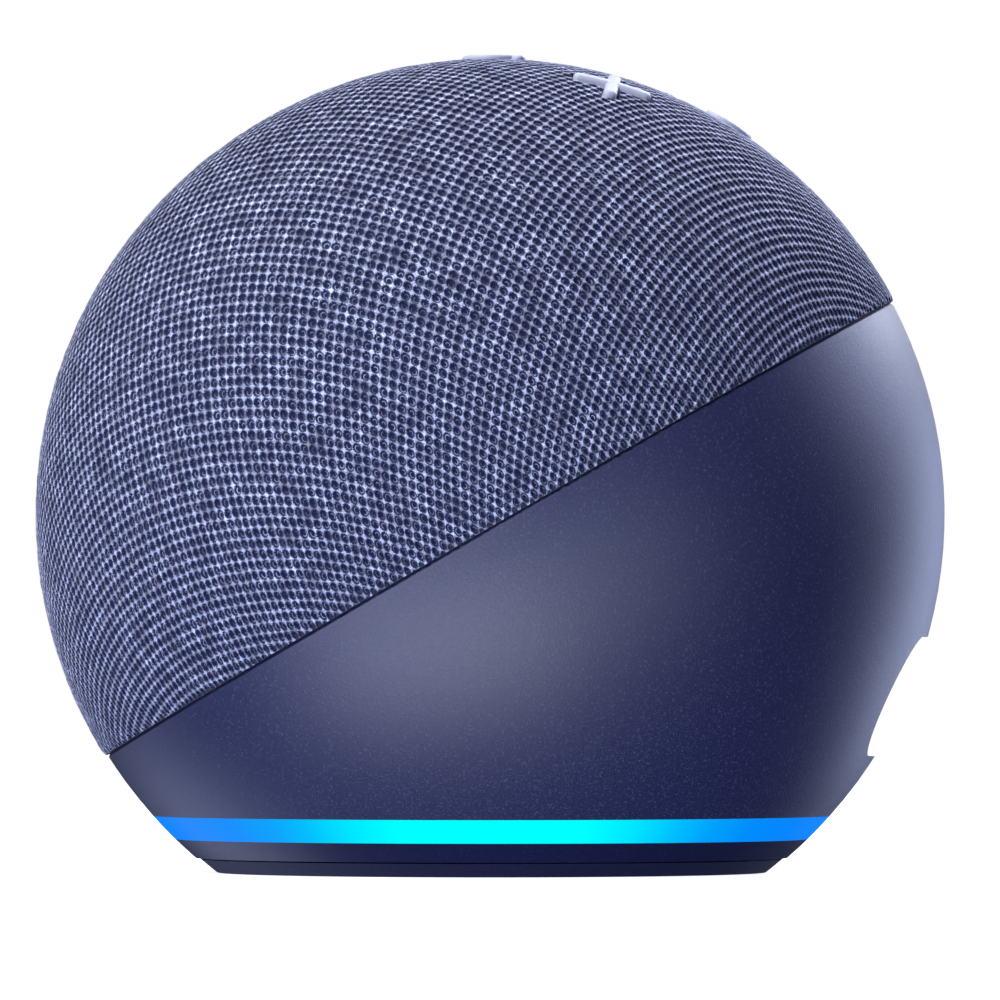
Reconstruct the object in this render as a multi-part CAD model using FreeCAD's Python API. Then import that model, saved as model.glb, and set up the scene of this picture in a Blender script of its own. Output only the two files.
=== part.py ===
import FreeCAD, Part
import math
import os

# A ball-shaped smart speaker that stands on a table.  The ball is cut flat at the foot.  A tilted seam
# parts a fabric-covered grille dome (front and top) from a moulded housing (rear and below).  A light ring
# runs round the foot, four buttons stand through the fabric on top, and a pill-shaped recess at the rear
# holds the power and audio sockets.
#
# Frame, in millimetres: origin at the middle of the foot on the table, +Z up, -Y the front, +X the right
# hand side as seen from the front.

V = FreeCAD.Vector

# ---- The ball and its shells ----
CENTRE_Z = 39.5  # height of the ball's centre above the table
SHELL_R = 50.0  # outer radius of the moulded housing
SHELL_WALL = 2.0
FABRIC_PROUD = 0.25  # the fabric stands this far outside the housing
FABRIC_T = 0.75
GLUE_GAP = 0.05  # thin gap wherever two curved faces are glued
GRILLE_WALL = 2.2
FIT = 0.1  # general assembly clearance

# ---- The tilted seam between dome and housing ----
SEAM_TILT = 30.0  # degrees that the seam's normal leans from vertical towards the front
SEAM_DROP = 1.7  # the seam plane passes this far below the ball's centre
SEAM_GAP = 0.3
SEAM_CHAMFER = 0.3
HEM_WIDTH = 1.9  # fabric turned in under the dome's rim
TONGUE_DEPTH = 3.0  # the dome's tongue reaches this far into the housing
TONGUE_WALL = 1.75

# ---- The foot, from the table up ----
FOOT_TOP = 1.62  # joint between rubber foot and base cover
FOOT_SETBACK = 0.25  # the foot's side lies this far inside the ball
FOOT_GROOVE = 0.14
FOOT_GROOVE_DEPTH = 1.0
FOOT_ROUND = 0.3
FOOT_INNER_R = 21.2
LABEL_R = 19.5
LABEL_T = 0.15
MIDDLE_Z = 0.8  # underside of the base cover inside the foot ring
BASE_FLOOR_TOP = 3.4
RING_BOTTOM = 3.7
RING_TOP = 6.25
RING_INNER_R = 32.15
GUIDE_WIDTH = 1.9
GUIDE_INSET = 0.05
LED_COUNT = 12
LED_SIZE = (1.6, 2.8, 1.1)

# ---- Base screws and the columns that they enter ----
COLUMN_PLACE_R = 23.0
COLUMN_R = 2.6
COLUMN_TOP = 16.0
COLUMN_FOOT = 4.6
RIB_T = 1.6
RIB_LOW = 8.4
RIB_TOP = 15.0
M2_SHANK = 0.95
M2_PILOT = 1.0
M2_CLEAR = 1.15
M2_HEAD = 1.9
M2_HEAD_T = 1.1

# ---- Main board and heat sink ----
BOARD_R = 30.9
BOARD_LOW = 6.6
BOARD_T = 1.2
POST_X = 7.0
POST_Y = 10.5
POST_R = 2.2
CAN_SIZE = (20.0, 13.0, 1.6)
PAD_T = 0.5
SINK_HALF = (26.0, 13.0)
SINK_T = 1.7
FIN_X = (14.0, 17.5, 21.0, 24.5)
FIN_T = 1.2
FIN_HALF_Y = 11.0
FIN_TOP = 17.0

# ---- Rear socket recess ----
RECESS_Z = 19.4  # height of the recess's middle
RECESS_R = 6.6  # radius of its round ends
RECESS_HALF = 15.2  # half its width
CUP_WALL = 1.3
CUP_FLOOR_Y = 38.2  # front face of the recess's floor
CUP_FLOOR_T = 1.6
POWER_X = 7.5
POWER_NOSE_R = 3.6
POWER_BORE_R = 2.1
POWER_PIN_R = 0.8
POWER_PIN_SEAT_R = 0.6
POWER_BORE_END_Y = 29.0
POWER_PIN_TIP = 1.3  # the pin stops this far inside the socket's mouth
POWER_MOUTH_R = 2.6
POWER_MOUTH_DEPTH = 1.2
POWER_BODY_HALF = 4.0
POWER_BODY_Y = 27.0
AUDIO_X = -8.0
AUDIO_NOSE_R = 3.0
AUDIO_BORE_R = 1.8
AUDIO_BODY_HALF = 3.2
AUDIO_BODY_Y = 24.4
AUDIO_END_WALL = 1.2
PORT_BOARD_HALF = 15.4
PORT_BOARD_Y = 23.0
PORT_BOARD_DEPTH = 4.0  # from the sockets' axis down to the board's top
PORT_SCREW = (13.6, 28.5)
ARM_INNER_X = 11.9
ARM_T = 2.0
M16_SHANK = 0.75
M16_PILOT = 0.8
M16_CLEAR = 0.9
M16_HEAD = 1.4
M16_HEAD_T = 0.9

# ---- Buttons: a flat keypad whose axis leans to the rear ----
KEYPAD_TILT = -15.8  # degrees about +X; negative leans to the rear
BUTTON_PLACE = 13.5  # distance of each button from the keypad's axis
BUTTON_RISE = 0.45  # the caps stand this far out of the fabric
BUTTON_EDGE = 0.22
ARM_LENGTH = 8.8  # bars of the plus, the minus and the slash
ARM_WIDTH = 1.3
DOT_R = 2.85
MUTE_R = 3.4
MUTE_LINE = 1.15
MUTE_SINK = 0.45  # the mute cap's field lies this far below its ring
CAP_CLEAR = 0.2
BUTTON_TRAVEL = 0.5
LANDING_W = 43.0  # underside of the dome's landing bosses, along the keypad's axis
LANDING_R = 6.4
FLANGE_R = 5.0
FLANGE_T = 1.0
STEM_R = 1.5
STEM_FOOT_W = 38.8
GUIDE_TOP_W = 40.6
GUIDE_PLATE_T = 1.2
GUIDE_PLATE_R = 20.5
STEM_CLEAR = 0.08
KEY_BOARD_TOP_W = 36.0
SWITCH_SIDE = 5.0
SWITCH_T = 2.0
PLUNGER_R = 1.0
PLUNGER_BOTTOM_W = 37.2
MIC_PLACE = 7.0
MIC_SIZE = (3.6, 2.7, 1.1)
MIC_TUBE_R = 1.6
MIC_BORE_R = 0.6
KEY_SCREW_PLACE = 12.94
KEY_BOSS_R = 2.3

# ---- Loudspeaker and its box, along the driver's axis ----
DRIVER_TILT = 78.0  # degrees about +X: the driver looks forward and 12 degrees up
BOX_R = 24.0
BOX_WALL = 1.8
BOX_FRONT_W = 30.0
BOX_SPLIT_W = 6.0
BOX_REAR_W = -18.0
BOX_SEAL_T = 0.6
BAFFLE_T = 2.0
BAFFLE_LIP = 3.8  # the baffle reaches this far inside the driver's flange
EAR_OUT = 5.0  # how far outside the box the ears' screws stand
EAR_TOP_W = 26.0
EAR_T = 2.0
EAR_HALF = 3.0
DOME_POST_R = 2.6
LUG_OUT = 2.4
LUG_R = 2.5
LUG_LENGTH = 4.0
FRAME_MARGIN = 0.8  # the driver's flange stops this far inside the box's edge
DRIVER_SCREW_IN = 1.7
PLATE_R = 13.5
MAGNET_R = 15.0
MAGNET_LOW_W = 11.2
MAGNET_T = 6.0
PLATE_T = 2.0
GAP_OUTER_R = 6.85
POLE_R = 5.85
COIL_INNER_R = 6.15
COIL_OUTER_R = 6.6
SOUND_HOLE_R = 0.95
SOUND_PITCH = 3.4
SOUND_FIELD_R = 20.0
LEAD_R = 0.8
GLAND_PLACE = (-9.0, -15.0)

# ---- Worked out from the above ----
FABRIC_R = SHELL_R + FABRIC_PROUD
GRILLE_R = FABRIC_R - FABRIC_T - GLUE_GAP
GRILLE_IN_R = GRILLE_R - GRILLE_WALL
SHELL_IN_R = SHELL_R - SHELL_WALL
SEAM_LOW = -SEAM_DROP - SEAM_GAP / 2  # top of the housing, in the seam's frame
SEAM_HIGH = -SEAM_DROP + SEAM_GAP / 2  # underside of the fabric's hem
CAP_R = FABRIC_R + BUTTON_RISE
BOARD_TOP = BOARD_LOW + BOARD_T
CAN_TOP = BOARD_TOP + CAN_SIZE[2]
SINK_LOW = CAN_TOP + PAD_T
SINK_TOP = SINK_LOW + SINK_T
KEY_BOARD_LOW_W = KEY_BOARD_TOP_W - BOARD_T
GUIDE_LOW_W = GUIDE_TOP_W - GUIDE_PLATE_T
FLANGE_TOP_W = LANDING_W - FIT
FRAME_SEAT_W = BOX_FRONT_W + BOX_SEAL_T
FRAME_R = BOX_R - FRAME_MARGIN
DRIVER_SCREW_R = FRAME_R - DRIVER_SCREW_IN
BAFFLE_HOLE_R = FRAME_R - BAFFLE_LIP
EAR_PLACE_R = BOX_R + EAR_OUT
LUG_PLACE_R = BOX_R + LUG_OUT
TOP_PLATE_LOW_W = MAGNET_LOW_W + MAGNET_T
TOP_PLATE_TOP_W = TOP_PLATE_LOW_W + PLATE_T
YOKE_LOW_W = MAGNET_LOW_W - PLATE_T
PORT_BOARD_TOP = RECESS_Z - PORT_BOARD_DEPTH
CUP_BACK_Y = CUP_FLOOR_Y - CUP_FLOOR_T
FAR = 2.4 * SHELL_R  # longer than the object, for cutting tools
COLUMN_XY = COLUMN_PLACE_R / math.sqrt(2)
QUARTERS = [(1, 1), (-1, 1), (-1, -1), (1, -1)]


# ---------------------------------------------------------------- helpers
def ball(radius):
    return Part.makeSphere(radius, V(0, 0, CENTRE_Z))


def rod(radius, low, high, x=0.0, y=0.0):
    """A cylinder along Z from low to high."""
    return Part.makeCylinder(radius, high - low, V(x, y, low))


def block(x0, x1, y0, y1, z0, z1):
    return Part.makeBox(x1 - x0, y1 - y0, z1 - z0, V(x0, y0, z0))


def slab(low, high):
    """All of space between two heights, as a wide block."""
    return block(-FAR, FAR, -FAR, FAR, low, high)


def turned(points):
    """A solid of revolution about Z from an outline of (radius, height) points."""
    wire = Part.makePolygon([V(r, 0, h) for r, h in points + points[:1]])
    return Part.Face(wire).revolve(V(0, 0, 0), V(0, 0, 1), 360)


def tube(inner, outer, low, high, x=0.0, y=0.0):
    return rod(outer, low, high, x, y).cut(rod(inner, low - 1, high + 1, x, y))


def lean(shape, tilt):
    """Moves a shape from a local frame, whose Z leans by tilt degrees about X, to the ball's centre."""
    place = FreeCAD.Placement(V(0, 0, CENTRE_Z), FreeCAD.Rotation(V(1, 0, 0), tilt))
    moved = shape.copy()
    moved.Placement = place.multiply(moved.Placement)
    return moved


def lean_point(x, y, w, tilt):
    return V(0, 0, CENTRE_Z) + FreeCAD.Rotation(V(1, 0, 0), tilt).multVec(V(x, y, w))


def in_seam(shape):
    return lean(shape, SEAM_TILT)


def in_keypad(shape):
    return lean(shape, KEYPAD_TILT)


def in_driver(shape):
    return lean(shape, DRIVER_TILT)


def joined(shapes):
    result = shapes[0]
    return result.fuse(shapes[1:]).removeSplitter() if len(shapes) > 1 else result


def pill(length, width, low, high, turn=0.0):
    """A bar with round ends, along X before it is turned."""
    reach = length / 2 - width / 2
    parts = [block(-reach, reach, -width / 2, width / 2, low, high)]
    parts += [rod(width / 2, low, high, side * reach) for side in (-1, 1)]
    bar = joined(parts)
    bar.rotate(V(0, 0, 0), V(0, 0, 1), turn)
    return bar


def screw(shank, head, head_t, under, tip):
    """A pan-head screw along Z: under is the height below its head, tip the height of its other end."""
    way = 1 if tip > under else -1
    outer = under - way * head_t
    low, high = sorted((under, outer))
    body = rod(head, low, high).fuse(rod(shank, min(under, tip), max(under, tip)))
    depth = head_t * 0.55
    slot_low, slot_high = sorted((outer, outer + way * depth))
    cross = block(-head * 0.6, head * 0.6, -head * 0.14, head * 0.14, slot_low, slot_high)
    other = cross.copy()
    other.rotate(V(0, 0, 0), V(0, 0, 1), 90)
    return body.cut(cross.fuse(other))


def placed(shape, x, y):
    moved = shape.copy()
    moved.translate(V(x, y, 0))
    return moved


def path_wire(points, radii=None):
    """Straight runs joined by tangent arcs that reach along 0.45 of the shorter run."""
    edges, start = [], points[0]
    for before, corner, after in zip(points, points[1:], points[2:]):
        back, ahead = (before - corner), (after - corner)
        shorter = min(back.Length, ahead.Length)
        reach = 0.45 * shorter
        a, b = corner + back.normalize() * reach, corner + ahead.normalize() * reach
        turn = math.pi - back.getAngle(ahead)
        radius = reach / math.tan(turn / 2)
        inward = (back + ahead).normalize()
        middle = corner + inward * (math.hypot(radius, reach) - radius)
        edges += [Part.LineSegment(start, a).toShape(), Part.Arc(a, middle, b).toShape()]
        start = b
        if radii is not None:
            radii.append(round(radius, 1))
    edges.append(Part.LineSegment(start, points[-1]).toShape())
    return Part.Wire(edges)


def swept(points, outline, radii=None):
    """Sweeps a closed outline, drawn in the XY plane at the origin, along the points' path."""
    path = path_wire(points, radii)
    along = (points[1] - points[0]).normalize()
    profile = outline.copy()
    profile.Placement = FreeCAD.Placement(points[0], FreeCAD.Rotation(V(0, 0, 1), along))
    solid = path.makePipeShell([profile], True, True)
    return solid


# ---------------------------------------------------------------- dome
def button_icons(extra, low, high):
    """The four cap outlines as prisms in the keypad's frame, grown sideways by extra: name to shape."""
    length, width = ARM_LENGTH + 2 * extra, ARM_WIDTH + 2 * extra
    across, along = pill(length, width, low, high), pill(length, width, low, high, 90)
    slash = pill(length, MUTE_LINE + 2 * extra, low, high, 45)
    ring = rod(MUTE_R + extra, low, high)
    return {
        "volume_up": placed(joined([across, along]), BUTTON_PLACE, 0),
        "volume_down": placed(across, -BUTTON_PLACE, 0),
        "mute": placed(joined([ring, slash]), 0, -BUTTON_PLACE),
        "action": placed(rod(DOT_R + extra, low, high), 0, BUTTON_PLACE),
    }


BUTTON_SPOTS = {
    "volume_up": (BUTTON_PLACE, 0),
    "volume_down": (-BUTTON_PLACE, 0),
    "mute": (0, -BUTTON_PLACE),
    "action": (0, BUTTON_PLACE),
}


def key_screw_spots():
    return [(sx * KEY_SCREW_PLACE, sy * KEY_SCREW_PLACE) for sx, sy in QUARTERS]


def mic_spots():
    return [(sx * MIC_PLACE, sy * MIC_PLACE) for sx, sy in QUARTERS]


def cap_windows():
    icons = button_icons(CAP_CLEAR, LANDING_W - 1, FAR / 2)
    return [in_keypad(icon) for icon in icons.values()]


def fabric_cover():
    """Knitted fabric over the dome, turned in under the rim, with windows for the caps."""
    above = in_seam(slab(SEAM_HIGH, FAR))
    above_hem = in_seam(slab(SEAM_HIGH + FABRIC_T, FAR))
    skin = ball(FABRIC_R).common(above)
    inside = ball(GRILLE_R + GLUE_GAP).common(above_hem)
    opening = ball(FABRIC_R - HEM_WIDTH).common(above)
    return skin.cut([inside, opening] + cap_windows())


def sound_holes():
    """Holes on a triangular grid in front of the driver."""
    row_step = SOUND_PITCH * math.sqrt(3) / 2
    rows = int(SOUND_FIELD_R / row_step)
    columns = int(SOUND_FIELD_R / SOUND_PITCH) + 1
    holes = []
    for row in range(-rows, rows + 1):
        for column in range(-columns, columns + 1):
            x = (column + 0.5 * (row % 2)) * SOUND_PITCH
            y = row * row_step
            if math.hypot(x, y) <= SOUND_FIELD_R:
                holes.append(rod(SOUND_HOLE_R, BOX_FRONT_W, FAR / 2, x, y))
    return holes


def ear_spots():
    step = EAR_PLACE_R / math.sqrt(2)
    return [(sx * step, sy * step) for sx, sy in QUARTERS]


def grille_shell():
    """Rigid dome under the fabric, with sound holes, button landings, screw posts and a tongue below."""
    rim = SEAM_HIGH + FABRIC_T
    dome = ball(GRILLE_R).cut(ball(GRILLE_IN_R)).common(in_seam(slab(rim, FAR)))
    tongue_r = SHELL_IN_R - 2 * FIT
    tongue = ball(tongue_r).cut(ball(tongue_r - TONGUE_WALL))
    tongue = tongue.common(in_seam(slab(SEAM_LOW - TONGUE_DEPTH, rim + TONGUE_DEPTH)))
    core = ball(GRILLE_IN_R + GRILLE_WALL / 2)
    landings = [
        in_keypad(rod(LANDING_R, LANDING_W, FAR / 2, *spot)).common(core)
        for spot in BUTTON_SPOTS.values()
    ]
    key_bosses = [
        in_keypad(rod(KEY_BOSS_R, GUIDE_TOP_W, FAR / 2, x, y)).common(core) for x, y in key_screw_spots()
    ]
    posts = [in_driver(rod(DOME_POST_R, EAR_TOP_W, FAR / 2, *spot)) for spot in ear_spots()]
    posts = [post.common(core) for post in posts]
    shell = joined([dome, tongue] + landings + key_bosses + posts)
    key_pilots = [
        in_keypad(rod(M2_PILOT, GUIDE_TOP_W - 1, GUIDE_TOP_W + 3.4, x, y)) for x, y in key_screw_spots()
    ]
    post_pilots = [in_driver(rod(M2_PILOT, EAR_TOP_W - 1, EAR_TOP_W + 8, *spot)) for spot in ear_spots()]
    mic_holes = [
        in_keypad(rod(MIC_BORE_R, LANDING_W - 2, FAR / 2, x, y)) for x, y in mic_spots()
    ]
    sound = [in_driver(hole) for hole in sound_holes()]
    return shell.cut(cap_windows() + key_pilots + post_pilots + mic_holes + sound)


# ---------------------------------------------------------------- housing
def recess_prism(grow, y0, y1):
    """The recess's pill outline, grown by grow, as a prism along Y."""
    shape = pill(2 * (RECESS_HALF + grow), 2 * (RECESS_R + grow), y0, y1)
    shape.rotate(V(0, 0, 0), V(1, 0, 0), -90)
    shape.translate(V(0, 0, RECESS_Z))
    return shape


def lower_housing():
    """Moulded rear and lower shell with four screw columns and the rear recess's opening."""
    below = in_seam(slab(-FAR, SEAM_LOW))
    shell = ball(SHELL_R).cut(ball(SHELL_IN_R)).common(below).common(slab(RING_TOP, FAR))
    core = ball(SHELL_IN_R + SHELL_WALL / 2)
    columns, ribs, pilots = [], [], []
    for sx, sy in QUARTERS:
        x, y = sx * COLUMN_XY, sy * COLUMN_XY
        columns.append(rod(COLUMN_R, COLUMN_FOOT, COLUMN_TOP, x, y))
        pilots.append(rod(M2_PILOT, COLUMN_FOOT - 1, COLUMN_TOP - 2, x, y))
        rib = block(COLUMN_PLACE_R, FAR / 2, -RIB_T / 2, RIB_T / 2, RIB_LOW, RIB_TOP)
        rib.rotate(V(0, 0, 0), V(0, 0, 1), math.degrees(math.atan2(sy, sx)))
        ribs.append(rib.common(core))
    shell = joined([shell] + columns + ribs)
    edge_r = math.sqrt(SHELL_R**2 - SEAM_LOW**2)
    chamfer = turned([
        (edge_r - SEAM_CHAMFER, SEAM_LOW + 0.01),
        (edge_r + 1, SEAM_LOW + 0.01),
        (edge_r + 1, SEAM_LOW - 1 - SEAM_CHAMFER),
    ])
    return shell.cut(pilots + [in_seam(chamfer), recess_prism(0, CUP_BACK_Y, FAR)])


def antennas():
    """Two thin aerials stuck to the housing's inner wall, one each side."""
    skin = ball(SHELL_IN_R - GLUE_GAP).cut(ball(SHELL_IN_R - GLUE_GAP - 0.35))
    sides = []
    for low, high in ((30, FAR), (-FAR, -30)):
        patch = block(low, high, -2, 12, CENTRE_Z - 17, CENTRE_Z - 8)
        sides.append(skin.common(patch))
    return Part.makeCompound([s for shape in sides for s in shape.Solids])


# ---------------------------------------------------------------- foot and light ring
def light_ring():
    ring = ball(SHELL_R).common(slab(RING_BOTTOM, RING_TOP))
    return ring.cut(rod(RING_INNER_R, 0, CENTRE_Z))


def light_guide():
    """Clear guide that spreads the LEDs' light into the ring."""
    outer = RING_INNER_R - GUIDE_INSET
    return tube(outer - GUIDE_WIDTH, outer, RING_BOTTOM, RING_TOP - GUIDE_INSET)


def base_cover():
    """Bottom of the case: floor, rim below the light ring, board posts and screw seats."""
    rim = ball(SHELL_R).common(slab(FOOT_TOP, RING_BOTTOM))
    rim = rim.cut(rod(RING_INNER_R - GUIDE_WIDTH - 0.3, BASE_FLOOR_TOP, RING_BOTTOM + 1))
    middle = rod(FOOT_INNER_R - FIT, MIDDLE_Z, FOOT_TOP + 0.5)
    posts, seats, cuts = [], [], []
    for sx, sy in QUARTERS:
        posts.append(rod(POST_R, BASE_FLOOR_TOP - 0.5, BOARD_LOW, sx * POST_X, sy * POST_Y))
        cuts.append(rod(M2_PILOT, BASE_FLOOR_TOP - 0.8, BOARD_LOW + 1, sx * POST_X, sy * POST_Y))
        x, y = sx * COLUMN_XY, sy * COLUMN_XY
        seats.append(rod(COLUMN_R + 0.6, BASE_FLOOR_TOP - 0.5, COLUMN_FOOT, x, y))
        cuts.append(rod(M2_CLEAR, FOOT_TOP - 1, COLUMN_FOOT + 1, x, y))
        cuts.append(rod(M2_HEAD + 0.3, FOOT_TOP - 1, FOOT_TOP + M2_HEAD_T + FIT, x, y))
    label_seat = rod(LABEL_R + FIT, MIDDLE_Z - 1, MIDDLE_Z + LABEL_T)
    return joined([rim, middle] + posts + seats).cut(cuts + [label_seat])


def foot_ring():
    """Rubber ring that the speaker stands on; it hides the base screws."""
    side = SHELL_R - FOOT_SETBACK
    ring = ball(side).common(slab(0, FOOT_TOP)).cut(rod(FOOT_INNER_R, -1, FOOT_TOP + 1))
    foot_r = math.sqrt(side**2 - CENTRE_Z**2)
    top_r = math.sqrt(side**2 - (CENTRE_Z - FOOT_TOP) ** 2)
    groove = tube(top_r - FOOT_GROOVE_DEPTH, FAR, FOOT_TOP - FOOT_GROOVE, FOOT_TOP + 1)
    ring = ring.cut(groove)
    corner = [edge for edge in ring.Edges
              if isinstance(edge.Curve, Part.Circle) and abs(edge.Curve.Radius - foot_r) < 1e-3
              and abs(edge.BoundBox.ZMax) < 1e-3]
    return ring.makeFillet(FOOT_ROUND, corner)


def rating_label():
    return rod(LABEL_R, MIDDLE_Z, MIDDLE_Z + LABEL_T)


def base_screws():
    one = screw(M2_SHANK, M2_HEAD, M2_HEAD_T, FOOT_TOP + M2_HEAD_T + FIT, COLUMN_TOP - 3)
    return Part.makeCompound([placed(one, sx * COLUMN_XY, sy * COLUMN_XY) for sx, sy in QUARTERS])


# ---------------------------------------------------------------- electronics in the base
def main_board():
    board = rod(BOARD_R, BOARD_LOW, BOARD_TOP)
    holes = []
    for sx, sy in QUARTERS:
        holes.append(rod(COLUMN_R + 0.4, 0, CENTRE_Z, sx * COLUMN_XY, sy * COLUMN_XY))
        holes.append(rod(M2_CLEAR, 0, CENTRE_Z, sx * POST_X, sy * POST_Y))
    return board.cut(holes)


def ring_leds():
    depth, width, height = LED_SIZE
    outer = RING_INNER_R - GUIDE_INSET - GUIDE_WIDTH - FIT
    leds = []
    for index in range(LED_COUNT):
        led = block(outer - depth, outer, -width / 2, width / 2, BOARD_LOW - height, BOARD_LOW)
        led.rotate(V(0, 0, 0), V(0, 0, 1), (index + 0.5) * 360 / LED_COUNT)
        leds.append(led)
    return Part.makeCompound(leds)


def shield_can():
    length, width, height = CAN_SIZE
    can = block(-length / 2, length / 2, -width / 2, width / 2, BOARD_TOP, CAN_TOP)
    upright = [edge for edge in can.Edges if abs(edge.Vertexes[0].X - edge.Vertexes[-1].X) < 1e-6
               and abs(edge.Vertexes[0].Y - edge.Vertexes[-1].Y) < 1e-6]
    return can.makeFillet(0.8, upright)


def thermal_pad():
    length, width, _ = CAN_SIZE
    return block(-length / 2 + 2, length / 2 - 2, -width / 2 + 1.5, width / 2 - 1.5, CAN_TOP, SINK_LOW)


def heat_sink():
    """Cast plate with fins beside the speaker box and four legs down to the board."""
    half_x, half_y = SINK_HALF
    plate = block(-half_x, half_x, -half_y, half_y, SINK_LOW, SINK_TOP)
    fins = [
        block(side * x - FIN_T / 2, side * x + FIN_T / 2, -FIN_HALF_Y, FIN_HALF_Y, SINK_TOP - 0.2, FIN_TOP)
        for x in FIN_X for side in (-1, 1)
    ]
    legs = [rod(POST_R, BOARD_TOP, SINK_LOW + 0.2, sx * POST_X, sy * POST_Y) for sx, sy in QUARTERS]
    holes = [rod(M2_CLEAR, 0, CENTRE_Z, sx * POST_X, sy * POST_Y) for sx, sy in QUARTERS]
    return joined([plate] + fins + legs).cut(holes)


def board_screws():
    one = screw(M2_SHANK, M2_HEAD, M2_HEAD_T, SINK_TOP, BASE_FLOOR_TOP)
    return Part.makeCompound([placed(one, sx * POST_X, sy * POST_Y) for sx, sy in QUARTERS])


# Sockets on the main board for the three internal leads: (x, y, length along x, width along y, height)
FLEX_SOCKET = (0.0, 21.2, 7.0, 2.4, 1.6)
LEAD_SOCKET = (-9.0, 21.6, 4.6, 3.4, 2.4)
PORT_SOCKET = (0.0, 26.2, 9.0, 2.4, 1.6)


def board_connectors():
    blocks = []
    for x, y, length, width, height in (FLEX_SOCKET, LEAD_SOCKET, PORT_SOCKET):
        ends, sides = (x - length / 2, x + length / 2), (y - width / 2, y + width / 2)
        blocks.append(block(*ends, *sides, BOARD_TOP, BOARD_TOP + height))
    return Part.makeCompound(blocks)


# ---------------------------------------------------------------- rear sockets
def laid_along_y(shape):
    """Turns a shape built along Z to lie along Y, at the height of the sockets."""
    shape.rotate(V(0, 0, 0), V(1, 0, 0), -90)
    shape.translate(V(0, 0, RECESS_Z))
    return shape


def socket_rod(radius, y0, y1, x):
    return laid_along_y(rod(radius, y0, y1, x, 0))


def port_cup():
    """Cup behind the housing's opening, with arms that carry the socket board."""
    outer = recess_prism(CUP_WALL, CUP_BACK_Y, FAR / 2).common(ball(SHELL_IN_R - FIT))
    hollow = recess_prism(FIT, CUP_FLOOR_Y, FAR)
    arm_top = PORT_BOARD_TOP - BOARD_T
    arms = [
        block(min(s * ARM_INNER_X, s * PORT_BOARD_HALF), max(s * ARM_INNER_X, s * PORT_BOARD_HALF),
              PORT_SCREW[1] - 2.4, CUP_BACK_Y + 0.5, arm_top - ARM_T, arm_top)
        for s in (-1, 1)
    ]
    arms = [arm.common(ball(SHELL_IN_R - FIT)) for arm in arms]
    holes = [socket_rod(POWER_NOSE_R + FIT, CUP_BACK_Y - 1, CUP_FLOOR_Y + 1, POWER_X),
             socket_rod(AUDIO_NOSE_R + FIT, CUP_BACK_Y - 1, CUP_FLOOR_Y + 1, AUDIO_X)]
    holes += [rod(M16_PILOT, 0, CENTRE_Z, s * PORT_SCREW[0], PORT_SCREW[1]) for s in (-1, 1)]
    return joined([outer] + arms).cut([hollow] + holes)


def power_jack():
    body = block(POWER_X - POWER_BODY_HALF, POWER_X + POWER_BODY_HALF, POWER_BODY_Y, CUP_BACK_Y,
                 PORT_BOARD_TOP, RECESS_Z + POWER_BODY_HALF)
    nose = socket_rod(POWER_NOSE_R, CUP_BACK_Y - 0.5, CUP_FLOOR_Y, POWER_X)
    bore = socket_rod(POWER_BORE_R, POWER_BORE_END_Y, CUP_FLOOR_Y + 1, POWER_X)
    mouth = socket_rod(POWER_MOUTH_R, CUP_FLOOR_Y - POWER_MOUTH_DEPTH, CUP_FLOOR_Y + 1, POWER_X)
    seat = socket_rod(POWER_PIN_SEAT_R + GLUE_GAP, POWER_BODY_Y + 0.6, POWER_BORE_END_Y + 1, POWER_X)
    return joined([body, nose]).cut([bore, mouth, seat])


def power_jack_pin():
    pin = socket_rod(POWER_PIN_R, POWER_BORE_END_Y, CUP_FLOOR_Y - POWER_PIN_TIP, POWER_X)
    tail = socket_rod(POWER_PIN_SEAT_R, POWER_BODY_Y + 0.6, POWER_BORE_END_Y + 0.5, POWER_X)
    return joined([pin, tail])


def audio_jack():
    body = block(AUDIO_X - AUDIO_BODY_HALF, AUDIO_X + AUDIO_BODY_HALF, AUDIO_BODY_Y, CUP_BACK_Y,
                 PORT_BOARD_TOP, RECESS_Z + AUDIO_BODY_HALF)
    nose = socket_rod(AUDIO_NOSE_R, CUP_BACK_Y - 0.5, CUP_FLOOR_Y, AUDIO_X)
    bore = socket_rod(AUDIO_BORE_R, AUDIO_BODY_Y + AUDIO_END_WALL, CUP_FLOOR_Y + 1, AUDIO_X)
    return joined([body, nose]).cut(bore)


def port_board():
    board = block(-PORT_BOARD_HALF, PORT_BOARD_HALF, PORT_BOARD_Y, CUP_BACK_Y - FIT,
                  PORT_BOARD_TOP - BOARD_T, PORT_BOARD_TOP)
    holes = [rod(M16_CLEAR, 0, CENTRE_Z, s * PORT_SCREW[0], PORT_SCREW[1]) for s in (-1, 1)]
    return board.common(ball(SHELL_IN_R - FIT)).cut(holes)


def port_screws():
    one = screw(M16_SHANK, M16_HEAD, M16_HEAD_T, PORT_BOARD_TOP, PORT_BOARD_TOP - BOARD_T - ARM_T)
    return Part.makeCompound([placed(one, s * PORT_SCREW[0], PORT_SCREW[1]) for s in (-1, 1)])


def port_cable():
    """Short flat cable between the socket board and the main board."""
    x, y, length, _, height = PORT_SOCKET
    plug = block(x - length / 2, x + length / 2, y - 1.0, y + 1.0,
                 PORT_BOARD_TOP - BOARD_T - 1.4, PORT_BOARD_TOP - BOARD_T)
    ribbon = block(x - length / 2 + 0.6, x + length / 2 - 0.6, y - 0.25, y + 0.25,
                   BOARD_TOP + height, PORT_BOARD_TOP - BOARD_T - 1.4)
    return joined([plug, ribbon])


# ---------------------------------------------------------------- speaker box
def lug_spots():
    return [(LUG_PLACE_R * math.cos(math.radians(a)), LUG_PLACE_R * math.sin(math.radians(a)))
            for a in (30, 150, 210, 330)]


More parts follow.
